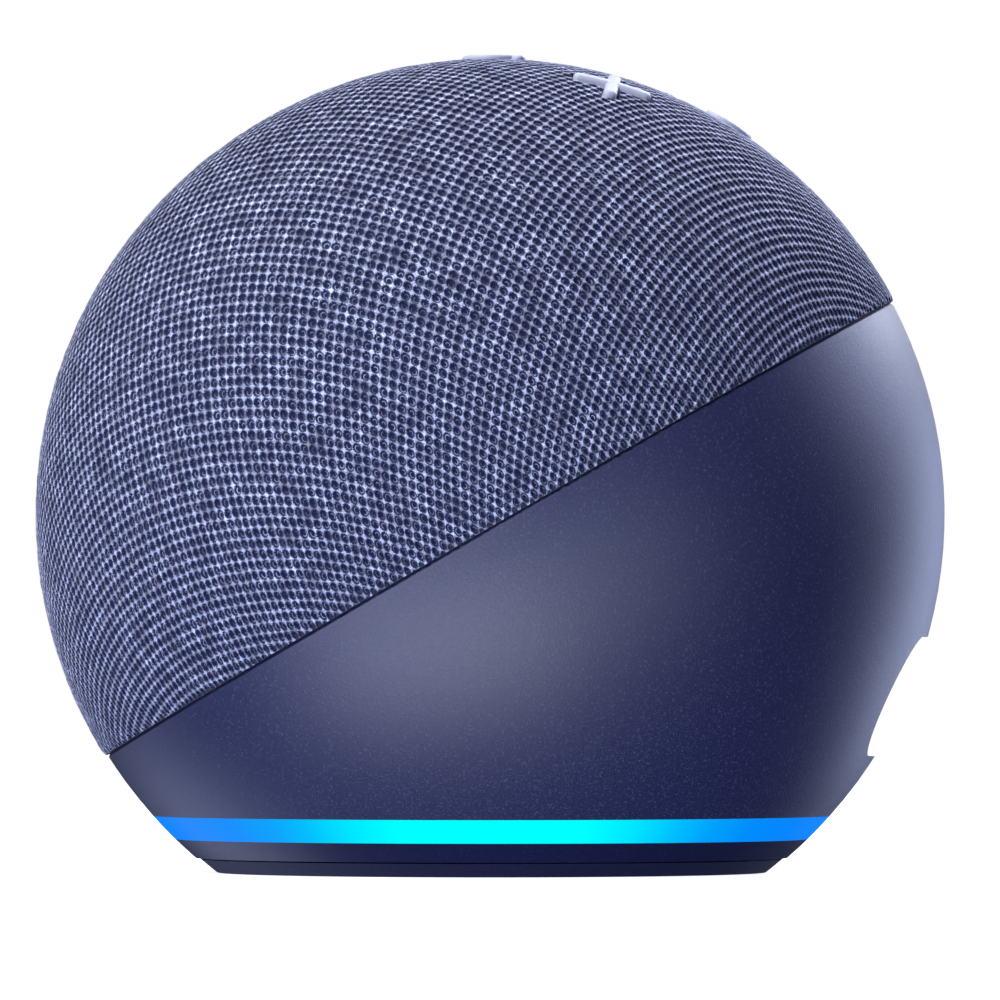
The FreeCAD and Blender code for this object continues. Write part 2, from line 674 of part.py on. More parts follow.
def driver_screw_spots():
    return [(DRIVER_SCREW_R * math.cos(math.radians(a)), DRIVER_SCREW_R * math.sin(math.radians(a)))
            for a in (0, 90, 180, 270)]


def speaker_box_front():
    wall = tube(BOX_R - BOX_WALL, BOX_R, BOX_SPLIT_W, BOX_FRONT_W)
    baffle = tube(BAFFLE_HOLE_R, BOX_R, BOX_FRONT_W - BAFFLE_T, BOX_FRONT_W)
    ears, holes = [], []
    for x, y in ear_spots():
        ear = block(BOX_R - 1.0, EAR_PLACE_R + EAR_HALF, -EAR_HALF, EAR_HALF, EAR_TOP_W - EAR_T, EAR_TOP_W)
        ear.rotate(V(0, 0, 0), V(0, 0, 1), math.degrees(math.atan2(y, x)))
        ears.append(ear)
        holes.append(rod(M2_CLEAR, -FAR, FAR, x, y))
    lugs = [rod(LUG_R, BOX_SPLIT_W, BOX_SPLIT_W + LUG_LENGTH, x, y) for x, y in lug_spots()]
    hollow = rod(BOX_R - BOX_WALL, BOX_SPLIT_W - 1, BOX_FRONT_W - BAFFLE_T)
    holes += [rod(M2_PILOT, BOX_SPLIT_W - 1, BOX_SPLIT_W + LUG_LENGTH + 1, x, y) for x, y in lug_spots()]
    holes += [rod(M16_PILOT, 0, FAR, x, y) for x, y in driver_screw_spots()]
    return in_driver(joined([wall, baffle] + ears + lugs).cut([hollow] + holes))


def speaker_box_rear():
    top = BOX_SPLIT_W - BOX_SEAL_T
    can = rod(BOX_R, BOX_REAR_W, top)
    lugs = [rod(LUG_R, top - LUG_LENGTH, top, x, y) for x, y in lug_spots()]
    hollow = rod(BOX_R - BOX_WALL, BOX_REAR_W + BOX_WALL, top + 1)
    holes = [rod(M2_CLEAR, top - LUG_LENGTH - 1, top + 1, x, y) for x, y in lug_spots()]
    gland = rod(LEAD_R + GLUE_GAP * 3, BOX_REAR_W - 1, BOX_REAR_W + BOX_WALL + 1, *GLAND_PLACE)
    return in_driver(joined([can] + lugs).cut([hollow, gland] + holes))


def box_seal():
    ring = tube(BOX_R - BOX_WALL, BOX_R, BOX_SPLIT_W - BOX_SEAL_T, BOX_SPLIT_W)
    return in_driver(ring)


def box_screws():
    under = BOX_SPLIT_W - BOX_SEAL_T - LUG_LENGTH
    one = screw(M2_SHANK, M2_HEAD, M2_HEAD_T, under, BOX_SPLIT_W + LUG_LENGTH - 0.5)
    return Part.makeCompound([in_driver(placed(one, x, y)) for x, y in lug_spots()])


def dome_screws():
    one = screw(M2_SHANK, M2_HEAD, M2_HEAD_T, EAR_TOP_W - EAR_T, EAR_TOP_W + 7)
    return Part.makeCompound([in_driver(placed(one, x, y)) for x, y in ear_spots()])


# ---------------------------------------------------------------- loudspeaker driver
SPIDER_SEAT_W = TOP_PLATE_TOP_W + 2.8
SPIDER_LEDGE_R = 12.2
BASKET_R = 14.8
CONE_NECK_R = COIL_INNER_R + 0.25
CONE_NECK_W = SPIDER_SEAT_W + 2.0
CONE_T = 0.45
CONE_EDGE_W = FRAME_SEAT_W + 0.6
FRAME_T = 1.0
SURROUND_T = 0.35
SURROUND_LAP = 1.0
SURROUND_ROLL = 3.0
FLANGE_STEP = 3.6  # from the flange's edge in to the rubber's edge
BASKET_STEP = 0.8
SURROUND_OUTER_R = FRAME_R - FLANGE_STEP
SURROUND_SEAT_R = SURROUND_OUTER_R - SURROUND_LAP
CONE_RIM_R = SURROUND_SEAT_R - SURROUND_ROLL
MOUTH_R = SURROUND_SEAT_R - 0.4
TERMINAL_HALF = 3.0
TERMINAL_Y = 14.2


def driver_frame():
    seat, top = FRAME_SEAT_W, FRAME_SEAT_W + FRAME_T
    basket = turned([
        (8.5, TOP_PLATE_TOP_W), (BASKET_R, TOP_PLATE_TOP_W), (BASKET_R, SPIDER_SEAT_W),
        (MOUTH_R + BASKET_STEP, seat), (FRAME_R, seat), (FRAME_R, top), (MOUTH_R, top),
        (MOUTH_R, top - 0.6), (BASKET_R - 0.9, SPIDER_SEAT_W),
        (SPIDER_LEDGE_R, SPIDER_SEAT_W), (SPIDER_LEDGE_R, TOP_PLATE_TOP_W + 1), (8.5, TOP_PLATE_TOP_W + 1),
    ])
    windows = []
    for angle in (45, 135, 225, 315):
        window = block(10, 25, -5.5, 5.5, SPIDER_SEAT_W + 1.2, seat - 1.4)
        window.rotate(V(0, 0, 0), V(0, 0, 1), angle)
        windows.append(window)
    flat = block(-TERMINAL_HALF - FIT, TERMINAL_HALF + FIT, -FAR, -TERMINAL_Y,
                 TOP_PLATE_TOP_W - 1, SPIDER_SEAT_W)
    holes = [rod(M16_CLEAR, 0, FAR, x, y) for x, y in driver_screw_spots()]
    return in_driver(basket.cut(windows + [flat] + holes))


def driver_gasket():
    ring = tube(BAFFLE_HOLE_R + 0.2, FRAME_R, BOX_FRONT_W, FRAME_SEAT_W)
    holes = [rod(M16_CLEAR, 0, FAR, x, y) for x, y in driver_screw_spots()]
    return in_driver(ring.cut(holes))


def driver_screws():
    one = screw(M16_SHANK, M16_HEAD, M16_HEAD_T, FRAME_SEAT_W + FRAME_T, BOX_FRONT_W - BAFFLE_T)
    return Part.makeCompound([in_driver(placed(one, x, y)) for x, y in driver_screw_spots()])


def top_plate():
    return in_driver(tube(GAP_OUTER_R, PLATE_R, TOP_PLATE_LOW_W, TOP_PLATE_TOP_W))


def magnet():
    return in_driver(tube(GAP_OUTER_R + 1.3, MAGNET_R, MAGNET_LOW_W, TOP_PLATE_LOW_W))


def yoke():
    back = rod(PLATE_R, YOKE_LOW_W, MAGNET_LOW_W)
    pole = rod(POLE_R, YOKE_LOW_W, TOP_PLATE_TOP_W + 0.2)
    return in_driver(joined([back, pole]))


def voice_coil():
    former = COIL_INNER_R + 0.2
    low, high = TOP_PLATE_LOW_W - 2.2, CONE_NECK_W + CONE_T
    return in_driver(turned([
        (COIL_INNER_R, low), (former, low), (former, low + 1), (COIL_OUTER_R, low + 1),
        (COIL_OUTER_R, TOP_PLATE_TOP_W + 1.1), (former, TOP_PLATE_TOP_W + 1.1), (former, high),
        (COIL_INNER_R, high),
    ]))


def cone():
    return in_driver(turned([
        (CONE_NECK_R, CONE_NECK_W), (CONE_RIM_R - 0.7, CONE_EDGE_W), (CONE_RIM_R, CONE_EDGE_W),
        (CONE_RIM_R, CONE_EDGE_W + CONE_T * 0.7), (CONE_RIM_R - 0.85, CONE_EDGE_W + CONE_T * 0.7),
        (CONE_NECK_R, CONE_NECK_W + CONE_T),
    ]))


def dust_cap():
    """Shallow dome glued over the cone's neck."""
    rim_r, rise, thick = 7.3, 2.2, 0.3
    slope = (CONE_EDGE_W - CONE_NECK_W) / (CONE_RIM_R - 0.7 - CONE_NECK_R)
    rim_w = CONE_NECK_W + CONE_T + (rim_r - CONE_NECK_R) * slope + GLUE_GAP
    radius = (rim_r**2 + rise**2) / (2 * rise)
    middle = V(0, 0, rim_w + rise - radius)
    dome = Part.makeSphere(radius, middle).cut(Part.makeSphere(radius - thick, middle))
    return in_driver(dome.common(slab(rim_w, rim_w + FAR)))


def surround():
    """Half-roll rubber ring between the cone's rim and the frame."""
    seat = FRAME_SEAT_W + FRAME_T
    inner, outer = CONE_RIM_R, SURROUND_SEAT_R
    mid = (inner + outer) / 2
    roll = (outer - inner) / 2
    base = CONE_EDGE_W + CONE_T * 0.7

    def p(r, w):
        return V(r, 0, w)

    lower = Part.Arc(p(inner, base), p(mid, base + roll), p(outer, seat)).toShape()
    over = [p(inner, base + SURROUND_T), p(mid, base + roll + SURROUND_T), p(outer, seat + SURROUND_T)]
    upper = Part.Arc(*over).toShape()
    lines = [
        Part.makePolygon([over[2], p(SURROUND_OUTER_R, seat + SURROUND_T), p(SURROUND_OUTER_R, seat),
                          p(outer, seat)]),
        Part.makePolygon([over[0], p(inner - 0.8, base + SURROUND_T), p(inner - 0.8, base),
                          p(inner, base)]),
    ]
    edges = [lower, upper] + [edge for line in lines for edge in line.Edges]
    wire = Part.Wire(Part.__sortEdges__(edges))
    return in_driver(Part.Face(wire).revolve(V(0, 0, 0), V(0, 0, 1), 360))


def spider():
    """Corrugated disc that centres the voice coil."""
    inner, outer, thick, waves, height = CONE_NECK_R, BASKET_R - 1.2, 0.3, 4, 0.35
    flat = 1.0
    steps = waves * 6

    def profile(lift):
        points = [(inner, SPIDER_SEAT_W + lift)]
        for i in range(steps + 1):
            r = inner + 0.4 + (outer - flat - inner - 0.4) * i / steps
            wave = height * (1 - math.cos(2 * math.pi * waves * i / steps)) / 2
            points.append((r, SPIDER_SEAT_W + lift + wave))
        return points + [(outer, SPIDER_SEAT_W + lift)]

    return in_driver(turned(profile(0) + profile(thick)[::-1]))


def driver_terminals():
    """Terminal board on the frame's flat, with two solder lugs."""
    low, high = TOP_PLATE_TOP_W + 0.2, SPIDER_SEAT_W - 0.2
    board = block(-TERMINAL_HALF, TERMINAL_HALF, -TERMINAL_Y - 1.0, -TERMINAL_Y, low, high)
    lugs = [block(x - 0.5, x + 0.5, -TERMINAL_Y - 1.8, -TERMINAL_Y - 1.0, low + 0.6, high - 0.6)
            for x in (-1.6, 1.6)]
    return Part.makeCompound([in_driver(shape) for shape in [board] + lugs])


def speaker_lead():
    """Twin lead, as one round cable, from the driver's terminals through the gland to the main board."""
    gx, gy = GLAND_PLACE
    lug_w = TOP_PLATE_TOP_W + 1.4
    inside = [(-1.6, -TERMINAL_Y - 2.8, lug_w - 0.6), (-1.6, -TERMINAL_Y - 3.4, lug_w - 7),
              (-4.5, -TERMINAL_Y - 3.6, lug_w - 15), (gx, gy - 1.2, lug_w - 25),
              (gx, gy, BOX_REAR_W + 5), (gx, gy, BOX_REAR_W - 2.4)]
    points = [lean_point(x, y, w, DRIVER_TILT) for x, y, w in inside]
    x, y, _, _, height = LEAD_SOCKET
    points += [V(x, y, CENTRE_Z - 20.5), V(x, y, BOARD_TOP + height)]
    circle = Part.Wire(Part.makeCircle(LEAD_R))
    radii = []
    solid = swept(points, circle, radii)
    length = path_wire(points).Length
    print("speaker lead: length", round(length, 1), "arc radii", radii,
          "volume share", round(solid.Volume / (math.pi * LEAD_R**2 * length), 4))
    return solid


# ---------------------------------------------------------------- keypad
def button_cap(name):
    """A cap: icon head through the dome, flange under it, and a stem down to the switch."""
    x, y = BUTTON_SPOTS[name]
    top = Part.makeSphere(CAP_R)
    head = button_icons(0, FLANGE_TOP_W - 0.5, FAR / 2)[name].common(top)
    rim = [edge for edge in head.Edges
           if all(abs(v.Point.Length - CAP_R) < 1e-4 for v in edge.Vertexes)
           and abs(edge.valueAt((edge.FirstParameter + edge.LastParameter) / 2).Length - CAP_R) < 1e-4]
    head = head.makeFillet(BUTTON_EDGE, rim)
    if name == "mute":
        field = placed(rod(MUTE_R - MUTE_LINE, LANDING_W, FAR / 2), x, y)
        slash = placed(pill(ARM_LENGTH, MUTE_LINE, LANDING_W - 1, FAR / 2, 45), x, y)
        field = field.cut(slash).cut(Part.makeSphere(CAP_R - MUTE_SINK))
        head = head.cut(field)
    flange = rod(FLANGE_R, FLANGE_TOP_W - FLANGE_T, FLANGE_TOP_W, x, y)
    stem = rod(STEM_R, STEM_FOOT_W, FLANGE_TOP_W - FLANGE_T + 0.2, x, y)
    return in_keypad(joined([head, flange, stem]))


def switch_plunger(name):
    x, y = BUTTON_SPOTS[name]
    return in_keypad(rod(PLUNGER_R, PLUNGER_BOTTOM_W, STEM_FOOT_W, x, y))


def switch_bodies():
    half = SWITCH_SIDE / 2
    bodies = []
    for x, y in BUTTON_SPOTS.values():
        body = block(x - half, x + half, y - half, y + half, KEY_BOARD_TOP_W, KEY_BOARD_TOP_W + SWITCH_T)
        well = rod(PLUNGER_R + STEM_CLEAR, PLUNGER_BOTTOM_W - BUTTON_TRAVEL - FIT, FAR, x, y)
        bodies.append(in_keypad(body.cut(well)))
    return Part.makeCompound(bodies)


def button_guide():
    """Plate that guides the four stems, with sleeves that space it from the board."""
    plate = rod(GUIDE_PLATE_R, GUIDE_LOW_W, GUIDE_TOP_W)
    sleeves = [rod(KEY_BOSS_R, KEY_BOARD_TOP_W, GUIDE_LOW_W + 0.2, x, y) for x, y in key_screw_spots()]
    holes = [rod(STEM_R + STEM_CLEAR, 0, FAR, x, y) for x, y in BUTTON_SPOTS.values()]
    holes += [rod(MIC_TUBE_R + 2 * FIT, 0, FAR, x, y) for x, y in mic_spots()]
    holes += [rod(M2_CLEAR, 0, FAR, x, y) for x, y in key_screw_spots()]
    return in_keypad(joined([plate] + sleeves).cut(holes))


def button_board():
    board = rod(GUIDE_PLATE_R, KEY_BOARD_LOW_W, KEY_BOARD_TOP_W)
    holes = [rod(M2_CLEAR, 0, FAR, x, y) for x, y in key_screw_spots()]
    return in_keypad(board.cut(holes))


def button_board_screws():
    one = screw(M2_SHANK, M2_HEAD, M2_HEAD_T, KEY_BOARD_LOW_W, GUIDE_TOP_W + 3)
    return Part.makeCompound([in_keypad(placed(one, x, y)) for x, y in key_screw_spots()])


def microphones():
    length, width, height = MIC_SIZE
    low = KEY_BOARD_TOP_W
    mics = []
    for x, y in mic_spots():
        body = block(x - length / 2, x + length / 2, y - width / 2, y + width / 2, low, low + height)
        port = rod(MIC_BORE_R / 2, low + height / 2, low + height + 1, x, y)
        mics.append(in_keypad(body.cut(port)))
    return Part.makeCompound(mics)


def mic_gaskets():
    """Rubber tubes that lead sound from the dome's pinholes to the microphones."""
    low = KEY_BOARD_TOP_W + MIC_SIZE[2]
    tubes = []
    for x, y in mic_spots():
        one = tube(MIC_BORE_R, MIC_TUBE_R, low, FAR / 2, x, y)
        tubes.append(in_keypad(one).common(ball(GRILLE_IN_R - GLUE_GAP)))
    return Part.makeCompound([s for shape in tubes for s in shape.Solids])


def button_flex():
    """Flat cable from the button board, behind the speaker box, to the main board."""
    x, y, _, _, height = FLEX_SOCKET
    start = [lean_point(0, 12, KEY_BOARD_LOW_W - drop, KEYPAD_TILT) for drop in (0, 6)]
    points = start + [V(0, 26.5, CENTRE_Z + 15), V(0, 26.5, CENTRE_Z - 6), V(0, y, CENTRE_Z - 16),
                      V(0, y, BOARD_TOP + height)]
    half, thin = 2.6, 0.15
    corners = [V(-half, -thin, 0), V(half, -thin, 0), V(half, thin, 0), V(-half, thin, 0)]
    return swept(points, Part.makePolygon(corners + corners[:1]))


# ---------------------------------------------------------------- write one STEP per node
def nodes():
    made = {
        "fabric_cover": fabric_cover(),
        "grille_shell": grille_shell(),
        "lower_housing": lower_housing(),
        "wifi_antennas": antennas(),
        "light_ring": light_ring(),
        "light_guide": light_guide(),
        "base_cover": base_cover(),
        "foot_ring": foot_ring(),
        "rating_label": rating_label(),
        "base_screws": base_screws(),
        "main_board": main_board(),
        "ring_leds": ring_leds(),
        "shield_can": shield_can(),
        "thermal_pad": thermal_pad(),
        "heat_sink": heat_sink(),
        "board_screws": board_screws(),
        "board_connectors": board_connectors(),
        "port_cup": port_cup(),
        "power_jack": power_jack(),
        "power_jack_pin": power_jack_pin(),
        "audio_jack": audio_jack(),
        "port_board": port_board(),
        "port_screws": port_screws(),
        "port_cable": port_cable(),
        "speaker_box_front": speaker_box_front(),
        "speaker_box_rear": speaker_box_rear(),
        "box_seal": box_seal(),
        "box_screws": box_screws(),
        "dome_screws": dome_screws(),
        "driver_frame": driver_frame(),
        "driver_gasket": driver_gasket(),
        "driver_screws": driver_screws(),
        "top_plate": top_plate(),
        "magnet": magnet(),
        "yoke": yoke(),
        "voice_coil": voice_coil(),
        "cone": cone(),
        "dust_cap": dust_cap(),
        "surround": surround(),
        "spider": spider(),
        "driver_terminals": driver_terminals(),
        "speaker_lead": speaker_lead(),
        "switch_bodies": switch_bodies(),
        "button_guide": button_guide(),
        "button_board": button_board(),
        "button_board_screws": button_board_screws(),
        "microphones": microphones(),
        "mic_gaskets": mic_gaskets(),
        "button_flex": button_flex(),
    }
    for name in BUTTON_SPOTS:
        made[name + "_button"] = button_cap(name)
        made[name + "_plunger"] = switch_plunger(name)
    return made


os.makedirs("parts", exist_ok=True)
for node_name, node_shape in nodes().items():
    solids = node_shape.Solids
    whole = solids[0] if len(solids) == 1 else Part.makeCompound(solids)
    sound = node_shape.isValid() and all(solid.isClosed() and solid.Volume > 0 for solid in solids)
    print(f"{node_name:22s} solids {len(solids):3d} volume {whole.Volume:10.2f} {'ok' if sound else 'BAD'}")
    whole.exportStep(os.path.join("parts", node_name + ".step"))
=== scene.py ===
# %% [markdown]
# # A ball-shaped smart speaker
#
# The measured frame of the speaker comes from CAD.  This lesson dresses it: a knitted cover is built over
# the dome, loop by loop, and every hard part gets a material made of shader nodes.
# %% Load the frame
import math
import random

import bmesh
import bpy
from mathutils import Matrix, Vector


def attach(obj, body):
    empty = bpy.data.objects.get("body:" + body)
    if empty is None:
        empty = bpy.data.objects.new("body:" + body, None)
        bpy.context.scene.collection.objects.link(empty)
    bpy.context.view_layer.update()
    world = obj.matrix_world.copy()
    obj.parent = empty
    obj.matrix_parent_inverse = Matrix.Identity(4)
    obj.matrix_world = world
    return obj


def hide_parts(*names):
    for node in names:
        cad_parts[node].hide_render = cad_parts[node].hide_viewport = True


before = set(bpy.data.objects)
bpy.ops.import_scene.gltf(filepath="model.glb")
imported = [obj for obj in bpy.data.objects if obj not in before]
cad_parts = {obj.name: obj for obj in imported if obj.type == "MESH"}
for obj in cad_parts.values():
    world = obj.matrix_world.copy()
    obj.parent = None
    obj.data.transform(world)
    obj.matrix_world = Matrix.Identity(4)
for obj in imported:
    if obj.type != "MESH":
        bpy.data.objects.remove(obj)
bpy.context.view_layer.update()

# %% [markdown]
# ## The ball
#
# Dome, housing, ring and foot are all slices of one ball, so one centre serves them all.  The dome's pole
# leans 30 degrees forward, and the keypad's axis leans 15.8 degrees back.  Each gets a matrix that carries
# points from a flat drawing table, whose Z is that pole, to the speaker.
# %% The ball and its two leaning axes
MM = 0.001
CENTRE = Vector((0, 0, 39.5 * MM))
FABRIC_R = 50.25 * MM  # outer radius of the cloth
DOME_POLE = Matrix.Translation(CENTRE) @ Matrix.Rotation(math.radians(30.0), 4, "X")
KEYPAD_AXIS = Matrix.Translation(CENTRE) @ Matrix.Rotation(math.radians(-15.8), 4, "X")
SEAM_HEIGHT = -1.75 * MM  # the plane in which the cloth ends, along the dome's pole
print("ball of cloth:", round(2 * FABRIC_R / MM, 2), "mm across")

# %% [markdown]
# Every piece that is built here ends in the same way: its mesh gets one material and smooth shading, and
# the piece rides on a body of the frame, so that it moves with the CAD part it stands for.
# %% Finishing a piece

def finished(name, bm, material, body="enclosure"):
    """Makes an object of a bmesh, with one material, and lets it ride on a body of the frame."""
    mesh = bpy.data.meshes.new(name)
    bm.to_mesh(mesh)
    bm.free()
    mesh.materials.append(material)
    for face in mesh.polygons:
        face.use_smooth = True
    thing = bpy.data.objects.new(name, mesh)
    bpy.context.scene.collection.objects.link(thing)
    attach(thing, body)
    print("made", name, "with", len(mesh.polygons), "faces")
    return thing


# %% [markdown]
# ## Node helpers
#
# Writing node trees in code is easier to read with a few small helpers: they add a node and fill its
# sockets, make an empty group with named inputs and outputs, put a group to use, do a sum and blend two
# colours.
# %% Helpers for node trees
def add(tree, kind, values=None, **settings):
    """Adds a node.  values fills its input sockets; a value that is an output socket is linked."""
    node = tree.nodes.new(kind)
    for key, value in settings.items():
        setattr(node, key, value)
    for key, value in (values or {}).items():
        if isinstance(value, bpy.types.NodeSocket):
            tree.links.new(value, node.inputs[key])
        else:
            node.inputs[key].default_value = value
    return node


def new_group(name, inputs, outputs):
    """Makes a shader group.  inputs and outputs are lists of (name, socket type, default)."""
    tree = bpy.data.node_groups.new(name, "ShaderNodeTree")
    for label, kind, default in inputs:
        socket = tree.interface.new_socket(label, in_out="INPUT", socket_type=kind)
        socket.default_value = default
    for label, kind, _ in outputs:
        tree.interface.new_socket(label, in_out="OUTPUT", socket_type=kind)
    return tree, add(tree, "NodeGroupInput"), add(tree, "NodeGroupOutput")


def use_group(tree, group, **values):
    """Adds a group node and fills its inputs; an underscore in a keyword stands for a space."""
    node = add(tree, "ShaderNodeGroup", node_tree=group)
    for label, value in values.items():
        socket = node.inputs[label.replace("_", " ")]
        if isinstance(value, bpy.types.NodeSocket):
            tree.links.new(value, socket)
        else:
            socket.default_value = value
    return node


def calc(tree, operation, a, b=0.0, c=0.0, clamp=False):
    """A Math node, as its output socket."""
    node = add(tree, "ShaderNodeMath", operation=operation, use_clamp=clamp)
    for place, value in enumerate((a, b, c)):
        if isinstance(value, bpy.types.NodeSocket):
            tree.links.new(value, node.inputs[place])
        else:
            node.inputs[place].default_value = value
    return node.outputs[0]


def blend_colours(tree, factor, a, b, mode="MIX"):
    """A colour Mix node, as its output socket.  Its colour sockets stand at places 6 and 7."""
    node = add(tree, "ShaderNodeMix", data_type="RGBA", blend_type=mode)
    for place, value in ((0, factor), (6, a), (7, b)):
        if isinstance(value, bpy.types.NodeSocket):
            tree.links.new(value, node.inputs[place])
        else:
            node.inputs[place].default_value = value
    return node.outputs[2]


def grey(tree, value):
    """A grey as bright as value, as an output socket."""
    return add(tree, "ShaderNodeCombineColor", {"Red": value, "Green": value, "Blue": value}).outputs[0]


def rgb(*values):
    """A colour with full opacity."""
    return (*values, 1.0)


# %% [markdown]
# ## Shared surface effects
#
# Three effects come back on many parts.  Moulded plastic has a fine spark-eroded grain with tiny light
# and dark flecks.  Machined and plated metal has short scratches along one direction.  Paper, foam and
# cloth have fibres.  Each is a group that puts out a colour and a height for a Bump node, and the first
# two also put out a roughness.
# %% Moulded grain
grain, g_in, g_out = new_group(
    "moulded_grain",
    [("Colour", "NodeSocketColor", rgb(0.5, 0.5, 0.5)), ("Fleck Colour", "NodeSocketColor", rgb(1, 1, 1)),
     ("Fleck Amount", "NodeSocketFloat", 0.3), ("Grain per Metre", "NodeSocketFloat", 5000.0),
     ("Roughness", "NodeSocketFloat", 0.5)],
    [("Colour", "NodeSocketColor", None), ("Roughness", "NodeSocketFloat", None),
     ("Height", "NodeSocketFloat", None)],
)
place = add(grain, "ShaderNodeTexCoord").outputs["Object"]
fine = add(grain, "ShaderNodeTexNoise",
           {"Vector": place, "Scale": g_in.outputs["Grain per Metre"], "Detail": 3.0, "Roughness": 0.6})
cloudy = add(grain, "ShaderNodeTexNoise", {"Vector": place, "Scale": 60.0, "Detail": 4.0})
fleck = calc(grain, "MULTIPLY", calc(grain, "SUBTRACT", fine.outputs["Fac"], 0.56), 7.0, clamp=True)
fleck = calc(grain, "MULTIPLY", fleck, g_in.outputs["Fleck Amount"])
patchy = calc(grain, "MULTIPLY_ADD", cloudy.outputs["Fac"], 0.16, 0.92)
tinted = blend_colours(grain, 1.0, g_in.outputs["Colour"], grey(grain, patchy), "MULTIPLY")
grain.links.new(blend_colours(grain, fleck, tinted, g_in.outputs["Fleck Colour"]), g_out.inputs["Colour"])
rough = calc(grain, "MULTIPLY_ADD", calc(grain, "SUBTRACT", fine.outputs["Fac"], 0.5), 0.3,
             g_in.outputs["Roughness"])
grain.links.new(rough, g_out.inputs["Roughness"])
grain.links.new(fine.outputs["Fac"], g_out.inputs["Height"])
print("moulded_grain has", len(grain.nodes), "nodes")

# %% [markdown]
# Screws, cans and magnet plates are turned, rolled or drawn, and each of these leaves fine lines one way.
# A noise that is squeezed hard across the lines and little along them gives such scratches everywhere,
# with no picture and no UV map, and a slower noise adds the stains that fingers and plating leave.
# %% Scratches of worked metal
brushed, b_in, b_out = new_group(
    "brushed_metal",
    [("Colour", "NodeSocketColor", rgb(0.6, 0.6, 0.6)),
     ("Stretch", "NodeSocketVector", (4000, 300, 4000)),
     ("Roughness", "NodeSocketFloat", 0.3)],
    [("Colour", "NodeSocketColor", None), ("Roughness", "NodeSocketFloat", None),
     ("Height", "NodeSocketFloat", None)],
)
place = add(brushed, "ShaderNodeTexCoord").outputs["Object"]
stretched = add(brushed, "ShaderNodeVectorMath", operation="MULTIPLY")
brushed.links.new(place, stretched.inputs[0])
brushed.links.new(b_in.outputs["Stretch"], stretched.inputs[1])
lines = add(brushed, "ShaderNodeTexNoise", {"Vector": stretched.outputs[0], "Scale": 1.0, "Detail": 2.0})
stain = add(brushed, "ShaderNodeTexNoise", {"Vector": place, "Scale": 250.0, "Detail": 5.0})
shade = calc(brushed, "MULTIPLY_ADD", lines.outputs["Fac"], 0.3, 0.72)
shade = calc(brushed, "MULTIPLY", shade, calc(brushed, "MULTIPLY_ADD", stain.outputs["Fac"], 0.3, 0.85))
shaded = blend_colours(brushed, 1.0, b_in.outputs["Colour"], grey(brushed, shade), "MULTIPLY")
brushed.links.new(shaded, b_out.inputs["Colour"])
brushed.links.new(calc(brushed, "MULTIPLY_ADD", stain.outputs["Fac"], 0.25, b_in.outputs["Roughness"]),
                  b_out.inputs["Roughness"])
brushed.links.new(lines.outputs["Fac"], b_out.inputs["Height"])
print("brushed_metal has", len(brushed.nodes), "nodes")

# %% [markdown]
# The cone is pressed paper, the gaskets are foam and the spider is cloth.  All three show thin fibres that
# wander over a darker ground.  The place where a distorted noise passes through its middle value is such a
# wandering line, so that is where the fibre's colour and height go.
# %% Fibres of paper, foam and cloth
fibres, f_in, f_out = new_group(
    "fibres",
    [("Colour", "NodeSocketColor", rgb(0.1, 0.1, 0.1)),
     ("Fibre Colour", "NodeSocketColor", rgb(0.3, 0.3, 0.3)),
     ("Fibres per Metre", "NodeSocketFloat", 2500.0)],
    [("Colour", "NodeSocketColor", None), ("Height", "NodeSocketFloat", None)],
)
place = add(fibres, "ShaderNodeTexCoord").outputs["Object"]
wander = add(fibres, "ShaderNodeTexNoise",
             {"Vector": place, "Scale": f_in.outputs["Fibres per Metre"], "Detail": 4.0, "Distortion": 1.6})
thread = calc(fibres, "ABSOLUTE", calc(fibres, "SUBTRACT", wander.outputs["Fac"], 0.5))
thread = calc(fibres, "SUBTRACT", 1.0, calc(fibres, "MULTIPLY", thread, 14.0, clamp=True))
mixed = blend_colours(fibres, calc(fibres, "MULTIPLY", thread, 0.5), f_in.outputs["Colour"],
                      f_in.outputs["Fibre Colour"])
fibres.links.new(mixed, f_out.inputs["Colour"])
fibres.links.new(thread, f_out.inputs["Height"])
print("shared effects:", [group.name for group in bpy.data.node_groups])


# %% [markdown]
# ## Materials from the groups
#
# A material holds its own Principled BSDF.  The group's colour, roughness and height are linked to it, and
# what is the same all over, such as the metallic share, is set straight on the shader's sockets.
# %% Makers of plastic, metal and fibre materials
def blank_material(name, **uniform):
    """A new material with plain values set on its shader, its node tree and the shader."""
    material = bpy.data.materials.new(name)
    material.use_nodes = True
    shader = material.node_tree.nodes["Principled BSDF"]
    for label, value in uniform.items():
        shader.inputs[label.replace("_", " ")].default_value = value
    return material, material.node_tree, shader


def connect(tree, shader, effect, depth):
    """Links a group's outputs to the shader; depth is the bump's depth in metres."""
    tree.links.new(effect.outputs["Colour"], shader.inputs["Base Color"])
    if "Roughness" in effect.outputs:
        tree.links.new(effect.outputs["Roughness"], shader.inputs["Roughness"])
    bump = add(tree, "ShaderNodeBump",
               {"Height": effect.outputs["Height"], "Strength": 1.0, "Distance": depth})
    tree.links.new(bump.outputs["Normal"], shader.inputs["Normal"])


def plastic(name, colour, fleck=(0.5, 0.5, 0.5), amount=0.2, grains=4000.0, roughness=0.45, depth=0.00001,
            **uniform):
    """Moulded plastic or rubber; grains counts the grains of its surface per metre."""
    material, tree, shader = blank_material(name, **uniform)
    effect = use_group(tree, grain, Colour=rgb(*colour), Fleck_Colour=rgb(*fleck), Fleck_Amount=amount,
                       Grain_per_Metre=grains, Roughness=roughness)
    connect(tree, shader, effect, depth)
    return material


